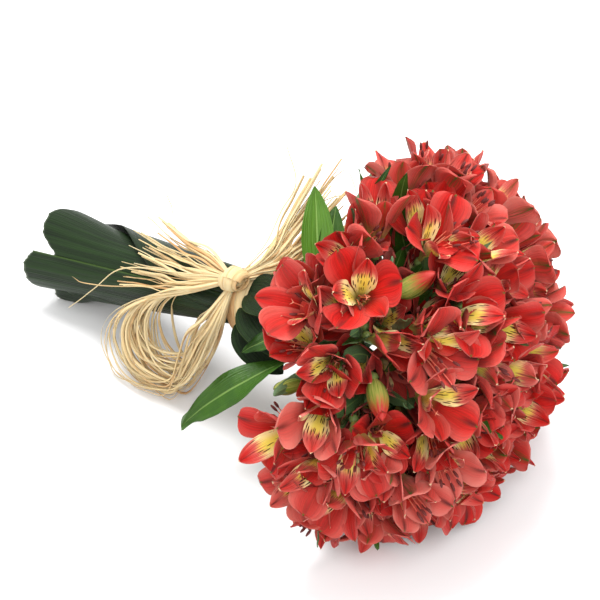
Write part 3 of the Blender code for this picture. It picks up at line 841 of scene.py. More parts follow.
def style_routes(chance):
    """The pistil's style with its three short stigma lobes."""
    bend = Vector((-0.006, chance.uniform(-0.003, 0.003), 0.0))
    guides = (Vector((0, 0, 0.004)), Vector((0, 0, 0.014)), bend * 0.5 + Vector((0, 0, 0.022)))
    tip = bend + Vector((0, 0, 0.029))
    routes = [bezier_route((*guides, tip), (STYLE_RADIUS, 0.8 * STYLE_RADIUS), 7)]
    for k in range(3):
        angle = math.tau * k / 3
        out = Vector((math.cos(angle), math.sin(angle), 0.8)) * STIGMA_LENGTH
        routes.append([(tip, 0.6 * STYLE_RADIUS), (tip + out, 0.3 * STYLE_RADIUS)])
    return routes


def bloom_parts(matrix, openness, tone, chance, rows=16, columns=9):
    """The meshes of one bloom in its own frame, each with the matrix that places it."""
    parts = []
    for form, angle in TEPALS:
        values = dict(SHAPES[form])
        values.update(tepal_path(form, openness, chance))
        values["Half Width"] *= chance.uniform(0.92, 1.06)
        values["Cup"] += chance.uniform(-0.10, 0.10)
        values["Twist"] = chance.uniform(-0.30, 0.30)
        values["Seed"] = chance.uniform(0, 100)
        values["Tone"] = max(0.0, min(1.0, tone + chance.uniform(-0.15, 0.15)))
        values.update({"Kind": KINDS[form], "Thickness": TEPAL_THICKNESS, "Foot": TEPAL_FOOT})
        values.update({"Rows": rows, "Columns": columns, "Material": PETAL})
        turn = Matrix.Rotation(math.radians(angle), 4, "Z")
        parts.append((grown(BLADE, NOTHING, values), matrix @ turn))
    stamens = curve_data(stamen_routes(openness, chance))
    filament_values = {"Sides": 5, "Material": FILAMENT}
    parts.append((grown(TUBE, stamens, filament_values), matrix))
    parts.append((grown(ANTHERS, stamens, {"Material": ANTHER}), matrix))
    parts.append((grown(TUBE, curve_data(style_routes(chance)), filament_values), matrix))
    return parts


print("a bloom has", len(TEPALS), "tepals,", STAMEN_COUNT, "stamens and a style")

# %% [markdown]
# ## The bouquet's own directions
#
# The stems run up the bundle to the tie, cross there and spread to eight knuckles. These are the
# model's own driving places, because blooms, leaves, stems and straw are laid out along them.

# %% Places and routes of the bouquet
STEM_END = Vector((-0.2275, 0.0, 0.0345))
TIE = Vector((0.0015, 0.0, 0.0952))
HEAD = Vector((0.1400, 0.0, 0.1220))
HEAD_ALONG = 0.108
HEAD_ACROSS = 0.147
STEM_COUNT = 8
KNUCKLE_OUT = 0.046
MIDDLE_KNUCKLE_AHEAD = 0.010
RING_KNUCKLE_BACK = 0.004
BUNDLE = (TIE - STEM_END).normalized()
AXIS = (HEAD - TIE).normalized()
FRONT = Vector((0, -1, 0))
ABOVE = FRONT.cross(AXIS).normalized()
BUNDLE_ABOVE = FRONT.cross(BUNDLE).normalized()


def smooth_route(points, count):
    """Points on a Catmull-Rom curve through the given points."""
    points = [Vector(point) for point in points]
    ends = [points[0] * 2 - points[1], *points, points[-1] * 2 - points[-2]]
    spans = len(points) - 1
    route = []
    for n in range(count):
        t = n / (count - 1) * spans
        k = min(int(t), spans - 1)
        t -= k
        before, near, far, after = ends[k : k + 4]
        bend = (2 * before - 5 * near + 4 * far - after) * t**2 + (3 * near - before - 3 * far + after) * t**3
        route.append(0.5 * (2 * near + (far - before) * t + bend))
    return route


def round_axis(axis_above, angle):
    """Unit vector square to the bouquet at an angle from the top towards the front."""
    return axis_above * math.cos(angle) + FRONT * math.sin(angle)


def knuckles():
    """Where each stem ends: one on the bouquet's axis and the others in a ring round it."""
    ring = [math.tau * (k + 0.5) / (STEM_COUNT - 1) for k in range(STEM_COUNT - 1)]
    ring_middle = HEAD - AXIS * RING_KNUCKLE_BACK
    outer = [ring_middle + round_axis(ABOVE, angle) * KNUCKLE_OUT for angle in ring]
    return [HEAD + AXIS * MIDDLE_KNUCKLE_AHEAD] + outer


def blend(low, high, share):
    """A smooth step from low to high."""
    share = max(0.0, min(1.0, share))
    return low + (high - low) * share * share * (3 - 2 * share)


KNUCKLES = knuckles()
print("knuckles:", [tuple(round(value, 3) for value in knuckle) for knuckle in KNUCKLES])

# %% [markdown]
# ## Every bloom on its seat
#
# A bloom's frame has its axis from the seat. Openness, tone, roll and nod come from a seeded
# generator, so the bouquet is lively but the same each time. The blooms that stand out in the
# photograph have looks of their own: roll in degrees, openness, and lean to the right, up and
# towards the viewer. Petals that reach the table are pressed flat on it.

# %% Grow the blooms
BLOOM_SEED = 11
BLOOM_SIZE = 1.10
MOUTH = 0.040
NOD = 0.34
TABLE_SOFTNESS = 0.0012
HIGH_ENOUGH = 6
RIGHT = Vector((math.cos(CAMERA_AZIMUTH), math.sin(CAMERA_AZIMUTH), 0.0))
PICTURE_UP = TO_VIEWER.cross(RIGHT)
OWN_LOOKS = {
    "bloom_ray_01_0": (-100, 0.95, (0.0, 0.1, 0.3)),
    "bloom_ray_01_1": (40, 0.80, (0.2, -0.1, 0.2)),
    "bloom_ray_02_0": (0, 0.45, (0.9, 0.0, -0.3)),
    "bloom_ray_02_1": (0, 0.35, (0.1, 0.9, -0.1)),
    "bloom_ray_03_0": (20, 0.65, (0.1, 0.6, -0.4)),
    "bloom_ray_04_1": (0, 0.45, (0.1, 0.5, 0.0)),
    "bloom_ray_05_0": (90, 1.00, (0.1, 0.1, 0.2)),
    "bloom_ray_06_1": (120, 0.95, (0.5, 0.3, -0.5)),
    "bloom_ray_07_0": (0, 0.50, (0.7, 0.0, -0.1)),
    "bloom_ray_11_1": (180, 0.85, (0.0, 0.0, 0.0)),
    "bloom_ray_13_0": (150, 0.55, (0.1, -0.5, 0.7)),
    "bloom_ray_14_1": (100, 0.45, (0.1, -0.1, 0.1)),
    "bloom_ray_15_1": (180, 0.90, (-0.8, -0.1, 0.9)),
    "bloom_ray_16_0": (0, 0.95, (0.1, 0.2, 0.3)),
    "bloom_ray_22_0": (70, 0.50, (0.1, 0.1, 0.2)),
    "bloom_ray_21_0": (30, 0.75, (-0.2, 0.0, 0.2)),
    "bloom_ray_21_1": (120, 0.95, (0.2, 0.5, 0.2)),
}


def in_picture(lean):
    """A direction given as to the right, up and towards the viewer."""
    return RIGHT * lean[0] + PICTURE_UP * lean[1] + TO_VIEWER * lean[2]


def bloom_matrix(ovary, facing, chance, roll=None, lean=None, size=BLOOM_SIZE):
    if lean is None:
        lean = Vector([chance.uniform(-NOD, NOD) for _ in range(3)])
    facing = (facing + lean).normalized()
    top = (PICTURE_UP - facing * PICTURE_UP.dot(facing)).normalized()
    spin = chance.uniform(-180, 180) if roll is None else roll
    top = Matrix.Rotation(math.radians(spin), 3, facing) @ top
    frame_axes = Matrix((top, facing.cross(top), facing)).transposed()
    return Matrix.Translation(ovary) @ frame_axes.to_4x4() @ Matrix.Scale(size, 4)


def press_on_table(mesh):
    """Bends what would dip below the table smoothly onto it."""
    for vertex in mesh.vertices:
        height = vertex.co.z / TABLE_SOFTNESS
        if height < HIGH_ENOUGH:
            vertex.co.z = TABLE_SOFTNESS * math.log1p(math.exp(height))


def piece(name, mesh, slot, *nodes):
    """A finished piece of the bouquet: it rides with the body and stands for its nodes."""
    made = add_to_scene(name, mesh)
    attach(made, "root")
    if nodes:
        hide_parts(*nodes)
    return made


def pressed_piece(name, parts, slot, *nodes):
    """Joins the parts, presses them on the table and finishes the piece; gives its face count."""
    mesh = joined(name, parts)
    press_on_table(mesh)
    piece(name, mesh, slot, *nodes)
    return len(mesh.polygons)


def grow_blooms():
    chance = random.Random(BLOOM_SEED)
    faces = 0
    for node, (_, flowers) in RAYS.items():
        if node.startswith("bud"):
            continue
        parts = []
        for k, (ovary, facing) in enumerate(flowers):
            openness = chance.uniform(0.30, 1.05)
            tone = chance.uniform(0.0, 1.0)
            roll, openness, lean = OWN_LOOKS.get(f"{node}_{k}", (None, openness, None))
            matrix = bloom_matrix(ovary, facing, chance, roll, lean and in_picture(lean))
            parts += bloom_parts(matrix, openness, tone, chance)
        faces += pressed_piece(f"petals_{node[-2:]}", parts, "petal_red", node)
    return faces


print("faces in the outer blooms:", grow_blooms())

# %% [markdown]
# ## Deeper blooms
#
# Between the outer blooms the eye meets more blooms, not a hole. They sit in two layers below the
# outer ones, wherever a golden-angle spiral over the dome finds room. A layer says how deep it is,
# as a share of the dome, and how far its blooms keep from outer blooms, from each other and from
# the clear places: the four buds, and the spots where narrow leaves look out. They are partly
# hidden, so their blades have fewer rows and columns.

# %% Fill the gaps with deeper blooms
BUD_LOOKS = {
    "bud_ray_27": (0.50, 0.95, (0.6, 0.3, -0.1)),
    "bud_ray_28": (0.20, 1.00, (0.5, -0.2, 0.0)),
    "bud_ray_29": (0.50, 0.90, (0.1, -0.8, 0.0)),
    "bud_ray_30": (1.30, 0.72, (0.0, 0.1, 0.2)),
}
BUD_MIDDLE = 0.03
LEAF_WINDOWS = ((0.094, -0.038, 0.236), (0.112, -0.008, 0.256))
FILL_SEED = 23
FILL_STEPS = 460
FILL_LAYERS = ((0.90, 0.019, 0.026, 0.034), (0.66, 0.022, 0.032, 0.015))
FILL_LOWEST = 0.022
FILL_PIECES = 4
DOME_RIM = math.radians(102)
GOLDEN_ANGLE = math.radians(137.508)


def dome_directions(steps):
    """Even directions over the dome on a golden-angle spiral, out to its rim."""
    lowest = math.cos(DOME_RIM)
    for n in range(steps):
        tilt = math.acos(1 - (1 - lowest) * (n + 0.5) / steps)
        across = round_axis(ABOVE, n * GOLDEN_ANGLE)
        yield AXIS * math.cos(tilt) + across * math.sin(tilt)


def on_dome(direction, share):
    """The point of the head's dome in this direction, and the way it faces there."""
    along = direction.dot(AXIS)
    across = direction - AXIS * along
    point = HEAD + (AXIS * (along * HEAD_ALONG) + across * HEAD_ACROSS) * share
    return point, (AXIS * (along / HEAD_ALONG) + across / HEAD_ACROSS).normalized()


def clear_of(point, others, distance):
    return all((point - other).length > distance for other in others)


def filling_places():
    outer = [ovary + facing * MOUTH for _, flowers in RAYS.values() for ovary, facing in flowers]
    buds = [RAYS[node][1][0] for node in BUD_LOOKS]
    clear = [ovary + facing * BUD_MIDDLE for ovary, facing in buds]
    clear += [Vector(place) for place in LEAF_WINDOWS]
    kept = []
    for depth, from_bloom, from_fill, from_clear in FILL_LAYERS:
        for direction in dome_directions(FILL_STEPS):
            point, facing = on_dome(direction, depth)
            free = clear_of(point, outer, from_bloom) and clear_of(point, clear, from_clear)
            if free and clear_of(point, [other for other, _ in kept], from_fill) and point.z > FILL_LOWEST:
                kept.append((point, facing))
    return kept


def grow_filling(places):
    chance = random.Random(FILL_SEED)
    seats_made = []
    for n in range(FILL_PIECES):
        parts = []
        for point, facing in places[n::FILL_PIECES]:
            matrix = bloom_matrix(Vector(), facing, chance, size=chance.uniform(0.92, 1.10))
            ovary = point - matrix.col[2].to_3d() * MOUTH
            matrix.translation = ovary
            openness = chance.uniform(0.20, 0.95)
            parts += bloom_parts(matrix, openness, chance.uniform(0.0, 1.0), chance, rows=12, columns=7)
            seats_made.append((ovary, matrix.col[2].to_3d().normalized()))
        pressed_piece(f"deeper_petals_{n + 1}", parts, "petal_red")
    return seats_made


FILLING = grow_filling(filling_places())
print("deeper blooms:", len(FILLING))

# %% [markdown]
# ## Buds
#
# A bud is three tepals that still wrap each other, green with a red flush that spreads from the
# tip as it ripens. Each wraps a third of the way round, so its blade is cupped into an arc, and a
# plain core closes the seams between them. One of the four is about to open and shows its striped
# claws, so it is a bloom with its tepals almost shut. A bud's looks are its tone, size and lean.

# %% Grow the buds
BUD_GREEN = (0.150, 0.260, 0.025)
BUD_YELLOW = (0.480, 0.470, 0.110)
BUD_RED = (0.480, 0.030, 0.022)
OPENING_BUD = "bud_ray_28"
OPENING_OPENNESS = 0.12
BUD_PATH = ((0.0015, 0.0, 0.0020), (0.0102, 0.0, 0.0090), (0.0090, 0.0, 0.0300), (0.0007, 0.0, 0.0410))
BUD_SHAPE = {"Half Width": 0.0066, "Base Power": 0.70, "Tip Power": 0.75, "Cup": 0.55, "Wave": 0.0006}
BUD_TWIST = 0.25
BUD_CORE = ((0, 0, 0.002), (0, 0, 0.014), (0, 0, 0.026), (0, 0, 0.038))
BUD_CORE_RADII = (0.002, 0.0055, 0.005, 0.001)


def bud_material():
    made, tree, shader = new_material("bud", 0.40, Specular_IOR_Level=0.4)
    along, across, tone = attributes(tree, "along", "across", "tone")
    lines = use_group(tree, VEINS, {"Along": along, "Across": across, "Count": 9.0, "Seed": tone})
    green = mixed(tree, lines, BUD_GREEN, BUD_YELLOW)
    ripe = minus(tree, plus(tree, along, times(tree, lines, 0.2)), tone)
    painted(tree, shader, mixed(tree, between(tree, ripe, 0.05, 0.45), green, BUD_RED), lines, 0.0003)
    return made


BUD = bud_material()


def bud_parts(matrix, tone, chance):
    parts = []
    for k in range(3):
        values = {**BUD_SHAPE, **dict(zip(HANDLES, BUD_PATH)), "Tone": tone, "Material": BUD}
        values["Twist"] = BUD_TWIST + chance.uniform(-0.05, 0.05)
        values["Seed"] = chance.uniform(0, 100)
        parts.append((grown(BLADE, NOTHING, values), matrix @ Matrix.Rotation(math.tau * k / 3, 4, "Z")))
    core = bezier_route(BUD_CORE, BUD_CORE_RADII, 9)
    parts.append((grown(TUBE, curve_data([core]), {"Sides": 12, "Material": BUD}), matrix))
    return parts


def grow_buds():
    chance = random.Random(BLOOM_SEED)
    for node, (tone, size, lean) in BUD_LOOKS.items():
        ovary, facing = RAYS[node][1][0]
        matrix = bloom_matrix(ovary, facing, chance, 0, in_picture(lean), size)
        if node == OPENING_BUD:
            parts = bloom_parts(matrix, OPENING_OPENNESS, tone, chance)
        else:
            parts = bud_parts(matrix, tone, chance)
        piece(f"closed_{node}", joined(f"closed_{node}", parts), "bud_green", node)


grow_buds()
print("buds:", len(BUD_LOOKS))

# %% [markdown]
# ## Stalks and stems
#
# Each ray of an umbel is a thin stalk, and a forked one carries two blooms. The stalk comes up
# straight behind its bloom and swells into the ovary. The deeper blooms get stalks from the
# nearest knuckle. The stems are thicker tubes that run from the pale cut ends through the tie to
# the knuckles, with a slight swelling at each joint.

# %% Grow the stalks
STALK_RADIUS = 0.0014
OVARY_RADII = (0.0013, 0.0024, 0.0036, 0.0038, 0.0030, 0.0014)
OVARY_BELOW = 0.004
OVARY_STEP = 0.0018


def stalk_to(base, ovary, facing):
    """A curved stalk up to the ovary, and the ovary itself."""
    elbow = ovary - facing * (0.45 * (ovary - base).length)
    guides = (base, base.lerp(elbow, 0.67), ovary.lerp(elbow, 0.67), ovary)
    swelling = [ovary + facing * (OVARY_STEP * n - OVARY_BELOW) for n in range(len(OVARY_RADII))]
    return [bezier_route(guides, (STALK_RADIUS, STALK_RADIUS), 12), list(zip(swelling, OVARY_RADII))]


def stalk_routes():
    routes = []
    for start, flowers in RAYS.values():
        base = start
        if len(flowers) == 2:
            base = start.lerp((flowers[0][0] + flowers[1][0]) / 2, 0.5)
            routes.append([(start, 1.2 * STALK_RADIUS), (base, 1.15 * STALK_RADIUS)])
        for ovary, facing in flowers:
            routes += stalk_to(base, ovary, facing)
    for ovary, facing in FILLING:
        home = min(KNUCKLES, key=lambda knuckle: (knuckle - ovary).length)
        routes += stalk_to(home, ovary, facing)
    return routes


stalks = grown(TUBE, curve_data(stalk_routes()), {"Sides": 8, "Material": STALK})
press_on_table(stalks)
piece("stalks", stalks, "stem_green", *RAYS)
print("stalks:", len(stalks.polygons), "faces")

# %% Grow the stems
STEM_RADIUS = 0.0042
KNUCKLE_RADIUS = 0.006
BUNDLE_RADIUS = 0.0102
BUNDLE_END_RADIUS = 0.019
SPIRAL_TURN = math.radians(100)
TIE_ZONE = 0.011
JOINT_SPACING = 0.034
ROUTE_POINTS = 71
KNUCKLE_SWELL = 8
CUT_SLICE = ((-0.0004, 0.0036), (0.0010, 0.0038))
STEM_DARK = (0.070, 0.140, 0.028)
STEM_LIGHT = (0.170, 0.270, 0.070)
CUT_PALE = (0.560, 0.600, 0.300)
CUT_CORE = (0.330, 0.430, 0.140)


def bundle_point(k, share, radius):
    """Offset of stem k where the bundle has this radius, a share of the spiral's turn round."""
    if k == 0:
        return bundle_point(1, share, radius) * 0.16
    return round_axis(ABOVE, math.tau * (k - 0.5) / (STEM_COUNT - 1) + SPIRAL_TURN * (share - 1)) * radius


def stem_route(k, knuckle):
    """One flower stem: cut end, binding point, then outwards to the knuckle of its umbel."""
    guides = [
        STEM_END + BUNDLE * (0.004 * (k % 3) + 0.012) + bundle_point(k, -0.6, BUNDLE_END_RADIUS),
        TIE.lerp(STEM_END, 0.5) + bundle_point(k, 0.3, 0.5 * (BUNDLE_RADIUS + BUNDLE_END_RADIUS)),
        TIE - BUNDLE * TIE_ZONE + bundle_point(k, 1.0, BUNDLE_RADIUS),
        TIE + BUNDLE * TIE_ZONE + bundle_point(k, 1.0, BUNDLE_RADIUS),
        TIE.lerp(HEAD, 0.35) + bundle_point(k, 1.0, 2.1 * BUNDLE_RADIUS),
        knuckle,
    ]
    points = smooth_route(guides, ROUTE_POINTS)
    ahead = (points[-1] - points[-2]).normalized()
    length = 0.0
    route = []
    for n, point in enumerate(points[:-1]):
        length += (point - points[n - 1]).length if n else 0.0
        joint = math.exp(-(((length / JOINT_SPACING + 0.3 * k) % 1.0 - 0.5) / 0.05) ** 2)
        near_knuckle = blend(0.0, 1.0, (n + 1 - ROUTE_POINTS + KNUCKLE_SWELL) / KNUCKLE_SWELL)
        route.append((point, STEM_RADIUS * (0.95 + 0.09 * joint + 0.25 * near_knuckle)))
    for polar in (120, 90, 60, 30, 6):
        angle = math.radians(polar)
        place = knuckle + ahead * (KNUCKLE_RADIUS * math.cos(angle))
        route.append((place, KNUCKLE_RADIUS * math.sin(angle)))
    return route


STEM = toned_material("stem", STEM_DARK, STEM_LIGHT, 0.38, 260.0, 0.00015)
CUT = toned_material("cut_end", CUT_PALE, CUT_CORE, 0.6, 900.0, 0.0002)
STEM_ROUTES = [stem_route(k, knuckle) for k, knuckle in enumerate(KNUCKLES)]


def grow_stems():
    for k, route in enumerate(STEM_ROUTES):
        end = route[0][0]
        ahead = (route[1][0] - end).normalized()
        slice_route = [(end + ahead * shift, radius) for shift, radius in CUT_SLICE]
        stem = grown(TUBE, curve_data([route]), {"Sides": 14, "Seed": k, "Material": STEM})
        cut_end = grown(TUBE, curve_data([slice_route]), {"Sides": 14, "Material": CUT})
        name = f"green_stem_{k + 1}"
        piece(name, joined(name, [(stem, STILL), (cut_end, STILL)]), "stem_green", f"stem_{k + 1}")


grow_stems()
print("stems:", len(STEM_ROUTES))

# %% [markdown]
# ## Leaves of the flower stems
#
# Alstroemeria leaves are lance-shaped, fold a little along the midrib and twist at the foot. Five
# stand out of the bouquet at the left. Broad ones stand round the bundle just beyond the tie, and
# three narrow ones look out at the top left. Many more fill the dark depth under the blooms: a
# whorl at each knuckle, and loose leaves whose tips peep out between the petals. The leaf material
# reads two attributes of its blade: tone goes from dark to fresh green, and kind to a grey bloom.

# %% The leaf material
LEAF_DARK = (0.014, 0.052, 0.008)
LEAF_FRESH = (0.085, 0.205, 0.014)
LEAF_GREY = (0.170, 0.270, 0.140)
LEAF_RIB = (0.240, 0.380, 0.100)


def leaf_material():
    made, tree, shader = new_material("leaf", 0.42, Specular_IOR_Level=0.25)
    along, across, back, kind, tone = attributes(tree, "along", "across", "back", "kind", "tone")
    seed = times(tree, tone, 11.0)
    lines = use_group(tree, VEINS, {"Along": along, "Across": across, "Count": 14.0, "Seed": seed})
    share = plus(tree, tone, times(tree, minus(tree, grain(tree, 90.0), 0.5), 0.5), clamp=True)
    green = mixed(tree, share, LEAF_DARK, LEAF_FRESH)
    green = mixed(tree, times(tree, lines, 0.25), green, LEAF_DARK)
    grey = plus(tree, kind, times(tree, back, 0.35), clamp=True)
    green = mixed(tree, grey, green, LEAF_GREY)
    rib = between(tree, calc(tree, "ABSOLUTE", across), 0.09, 0.02)
    green = mixed(tree, times(tree, rib, 0.55), green, LEAF_RIB)
    painted(tree, shader, green, minus(tree, lines, rib), 0.0004)
    return made


LEAF = leaf_material()
print("leaf material:", len(LEAF.node_tree.nodes), "nodes")

# %% Where the leaves stand
STANDING_LEAVES = {
    "foliage_1": (
        ((0.0683, -0.0252, 0.0911), (0.052, -0.055, 0.087), (0.029, -0.085, 0.068), (0.009, -0.103, 0.040)),
        {"Half Width": 0.0120, "Side": (0.75, 0.60, 0.35), "Tone": 0.35, "Wave": 0.010, "Wave Count": 4.5},
    ),
    "foliage_2": (
        ((0.0620, 0.0099, 0.1360), (0.048, 0.020, 0.153), (0.033, 0.037, 0.171), (0.0195, 0.0520, 0.187)),
        {"Half Width": 0.0125, "Side": (-0.60, -0.75, 0.1), "Tone": 0.85, "Wave": 0.002},
    ),
    "foliage_3": (
        ((0.0717, 0.0147, 0.1399), (0.056, 0.027, 0.148), (0.045, 0.042, 0.162), (0.037, 0.057, 0.173)),
        {"Half Width": 0.0110, "Side": (-0.60, -0.75, 0.1), "Tone": 0.28, "Wave": 0.003},
    ),
    "foliage_4": (
        ((0.0837, 0.0183, 0.1436), (0.060, 0.048, 0.153), (0.052, 0.072, 0.180), (0.056, 0.091, 0.204)),
        {"Half Width": 0.0052, "Side": (0.70, 0.50, -0.4), "Tone": 0.35, "Kind": 0.7, "Wave": 0.002},
    ),
    "foliage_5": (
        ((0.0563, -0.0278, 0.1132), (0.050, -0.040, 0.111), (0.043, -0.051, 0.108), (0.037, -0.060, 0.103)),
        {"Half Width": 0.0062, "Side": (0.6, 0.7, 0.1), "Tone": 0.20, "Wave": 0.003},
    ),
}
COLLAR_LEAVES = (
    ((0.010, -0.008, 0.120), (0.034, -0.012, 0.127), (0.060, -0.020, 0.136), (0.088, -0.028, 0.146)),
    ((0.010, 0.016, 0.116), (0.034, 0.024, 0.122), (0.062, 0.034, 0.128), (0.088, 0.044, 0.134)),
    ((0.010, 0.022, 0.088), (0.034, 0.034, 0.080), (0.062, 0.046, 0.070), (0.088, 0.058, 0.056)),
    ((0.045, -0.008, 0.098), (0.062, 0.002, 0.080), (0.078, 0.026, 0.078), (0.092, 0.050, 0.080)),
    ((0.096, -0.070, 0.186), (0.106, -0.072, 0.192), (0.118, -0.074, 0.196), (0.130, -0.074, 0.200)),
)
COLLAR_HALF_WIDTH = 0.0150
NARROW_LEAVES = (
    ((0.104, -0.009, 0.208), (0.107, -0.011, 0.233), (0.109, -0.008, 0.249), (0.110, 0.001, 0.261)),
    ((0.106, -0.008, 0.209), (0.110, -0.010, 0.235), (0.114, -0.003, 0.255), (0.116, 0.012, 0.269)),
    ((0.118, -0.004, 0.217), (0.118, -0.004, 0.234), (0.119, -0.003, 0.247), (0.120, -0.002, 0.259)),
)
NARROW_HALF_WIDTH = 0.0034
LEAF_SHAPE = {
    "Base Power": 0.62,
    "Tip Power": 0.85,
    "Foot": 0.0012,
    "Cup": 0.10,
    "Fold": 0.16,
    "Thickness": 0.0006,
    "Rows": 30,
    "Material": LEAF,
}
LEAF_SEED = 5


def handles(points):
    """The cubic Bezier path that passes the ends and the points at a third and two thirds."""
    start, third, two_thirds, end = (Vector(point) for point in points)
    leaving = (third * 18 - start * 5 - two_thirds * 9 + end * 2) / 6
    coming = (two_thirds * 18 - end * 5 - third * 9 + start * 2) / 6
    return dict(zip(HANDLES, (tuple(start), tuple(leaving), tuple(coming), tuple(end))))


def collar(name, leaves, half_width, material):
    """Leaves that stand round the bundle beyond the tie, each turned to face outwards."""
    chance = random.Random(LEAF_SEED)
    parts = []
    for points in leaves:
        facing = TO_VIEWER if points[0][1] < 0 else Vector(points[0]) - TIE
        side = facing.cross(Vector(points[3]) - Vector(points[0])).normalized()
        values = {**LEAF_SHAPE, **handles(points), "Side": tuple(side), "Half Width": half_width}
        values.update({"Tone": chance.uniform(0.0, 0.10), "Seed": chance.uniform(0, 100)})
        values.update({"Wave": 0.005, "Material": material})
        parts.append((grown(BLADE, NOTHING, values), STILL))
    return joined(name, parts)


def grow_standing_leaves(chance):
    for node, (points, own) in STANDING_LEAVES.items():
        values = {**LEAF_SHAPE, **handles(points), **own, "Seed": chance.uniform(0, 100)}
        name = f"standing_{node}"
        piece(name, joined(name, [(grown(BLADE, NOTHING, values), STILL)]), "foliage_green", node)
    for name, leaves, half_width in (
        ("collar_leaves", COLLAR_LEAVES, COLLAR_HALF_WIDTH),
        ("narrow_leaves", NARROW_LEAVES, NARROW_HALF_WIDTH),
    ):
        piece(name, collar(name, leaves, half_width, LEAF), "foliage_green")


leaf_chance = random.Random(LEAF_SEED)
grow_standing_leaves(leaf_chance)
print("standing leaves:", len(STANDING_LEAVES) + len(COLLAR_LEAVES) + len(NARROW_LEAVES))

# %% Leaves among the blooms
# A layer of peeping leaves has a count, the depths of foot and tip as shares of the dome, and a
# half width.
WHORL_LEAVES = 7
WHORL_REACH = (0.02, 0.06)
WHORL_SPREAD = 0.045
WHORL_HALF_WIDTHS = (0.006, 0.010)
PEEPING_LAYERS = ((60, 0.50, 1.00, 0.008), (54, 0.05, 0.62, 0.013))
PEEPING_LOWEST = 0.02
PEEPING_SAG = 0.008
PEEPING_SHIFT = 0.014
FREE_LEAF_GRID = {"Rows": 14, "Columns": 5}


def any_way(chance, most):
    return Vector([chance.uniform(-most, most) for _ in range(3)])


def free_leaf(start, tip, sag, half_width, chance):
    """A leaf from start to tip that sags sideways by the given vector in the middle."""
    side = (tip - start).cross(any_way(chance, 1)).normalized()
    values = {**LEAF_SHAPE, **FREE_LEAF_GRID, "Side": tuple(side), "Half Width": half_width}
    values.update(handles((start, start.lerp(tip, 0.33) + sag, start.lerp(tip, 0.67) + sag, tip)))
    values.update({"Twist": chance.uniform(-1.2, 1.2), "Wave": 0.004, "Wave Count": 4.0})
    values.update({"Tone": chance.uniform(0.0, 0.45), "Seed": chance.uniform(0, 100)})
    values["Kind"] = chance.choice((0.0, 0.0, 0.4))
    return grown(BLADE, NOTHING, values), STILL


def whorls(chance):
    leaves = []
    for knuckle in KNUCKLES:
        away = (knuckle - HEAD + AXIS * 0.05).normalized()
        for _ in range(WHORL_LEAVES):
            across = any_way(chance, 1)
            reach = away * chance.uniform(*WHORL_REACH) + across * WHORL_SPREAD
            half_width = chance.uniform(*WHORL_HALF_WIDTHS)
            sag = AXIS * chance.uniform(-0.008, 0.004)
            leaves.append(free_leaf(knuckle, knuckle + reach, sag, half_width, chance))
    return leaves


def peeping(chance):
    leaves = []
    for count, foot_depth, tip_depth, broad in PEEPING_LAYERS:
        for direction in dome_directions(count):
            tip = on_dome(direction, tip_depth * chance.uniform(0.88, 1.0))[0]
            foot = on_dome(direction, foot_depth)[0]
            if tip.z > PEEPING_LOWEST:
                sag = any_way(chance, PEEPING_SAG)
                tip += any_way(chance, PEEPING_SHIFT)
                leaves.append(free_leaf(foot, tip, sag, broad * chance.uniform(0.5, 1.0), chance))
    return leaves


faces = pressed_piece("whorl_leaves", whorls(leaf_chance), "foliage_green")
faces += pressed_piece("peeping_leaves", peeping(leaf_chance), "foliage_green")
print("faces in the leaves among the blooms:", faces)

# %% [markdown]
# ## The rolled leaves
#
# Two broad leaves are wrapped round the stems, each wide enough to go most of the way round. They
# are dark, satin and finely veined along their length, with a pale torn edge where they were cut.
# They are not blades along a path but sheets round the bundle, so mesh code lays their points out
# by distance up the bundle and angle round it. Both skins share their border, so each is closed.
# Beyond the tie three broad tips of such leaves stand free, and those are blades again.

# %% Shape of the rolled leaves
WRAP_RADIUS_AT_END = 0.0385
WRAP_RADIUS_AT_TIE = 0.0205
WRAP_PITCH = 0.0024
INNER_WRAP_INSET = 0.0046
END_SAG = 0.007
WRAP_THICKNESS = 0.0010
TIE_DISTANCE = (TIE - STEM_END).length
LOOSE_ZONE = 0.03
FLARE = 0.25
SAG_FROM = 0.022
SAG_TO = 0.052
OUTER_START = 56.0
OUTER_END_AT_CUT = 285
OUTER_END_AT_TIE = 445
INNER_START = -170
INNER_TURN = 335
TABLE_GAP = 0.0008
INNER_LIFT = 0.0016


def wrap_radius(distance):
    """Radius of the rolled leaves at this distance up the bundle, even where the band is tied."""
    slope = (WRAP_RADIUS_AT_TIE - WRAP_RADIUS_AT_END) / (TIE_DISTANCE - TIE_ZONE)
    flare = FLARE * max(0.0, distance - TIE_DISTANCE - TIE_ZONE)
    return WRAP_RADIUS_AT_END + slope * min(distance, TIE_DISTANCE - TIE_ZONE) + flare


def bump(value, middle, width):
    """A smooth hump, one high, round its middle."""
    return math.exp(-(((value - middle) / width) ** 2))


def ragged(value):
    """A torn edge: small steps of different lengths."""
    return 0.0008 * math.sin(value * 61) + 0.0006 * math.sin(value * 143 + 1) + 0.0004 * math.sin(value * 317)


def crease(height, turn, rate, shift, distance):
    """Small lengthwise creases just below the tie, where the leaves are drawn together."""
    return height * math.sin(turn * rate + shift) * bump(distance, TIE_DISTANCE - LOOSE_ZONE, LOOSE_ZONE)


def on_roll(distance, turn, radius, lift=0.0):
    """A point of a rolled leaf, with its cut end sagging onto the table."""
    point = STEM_END + BUNDLE * distance + round_axis(BUNDLE_ABOVE, math.radians(turn)) * radius
    underneath = max(0.0, -math.cos(math.radians(turn))) ** 3
    point.z -= END_SAG * underneath * blend(1.0, 0.0, (distance - SAG_FROM) / (SAG_TO - SAG_FROM))
    point.z = max(point.z, TABLE_GAP + lift)
    return point


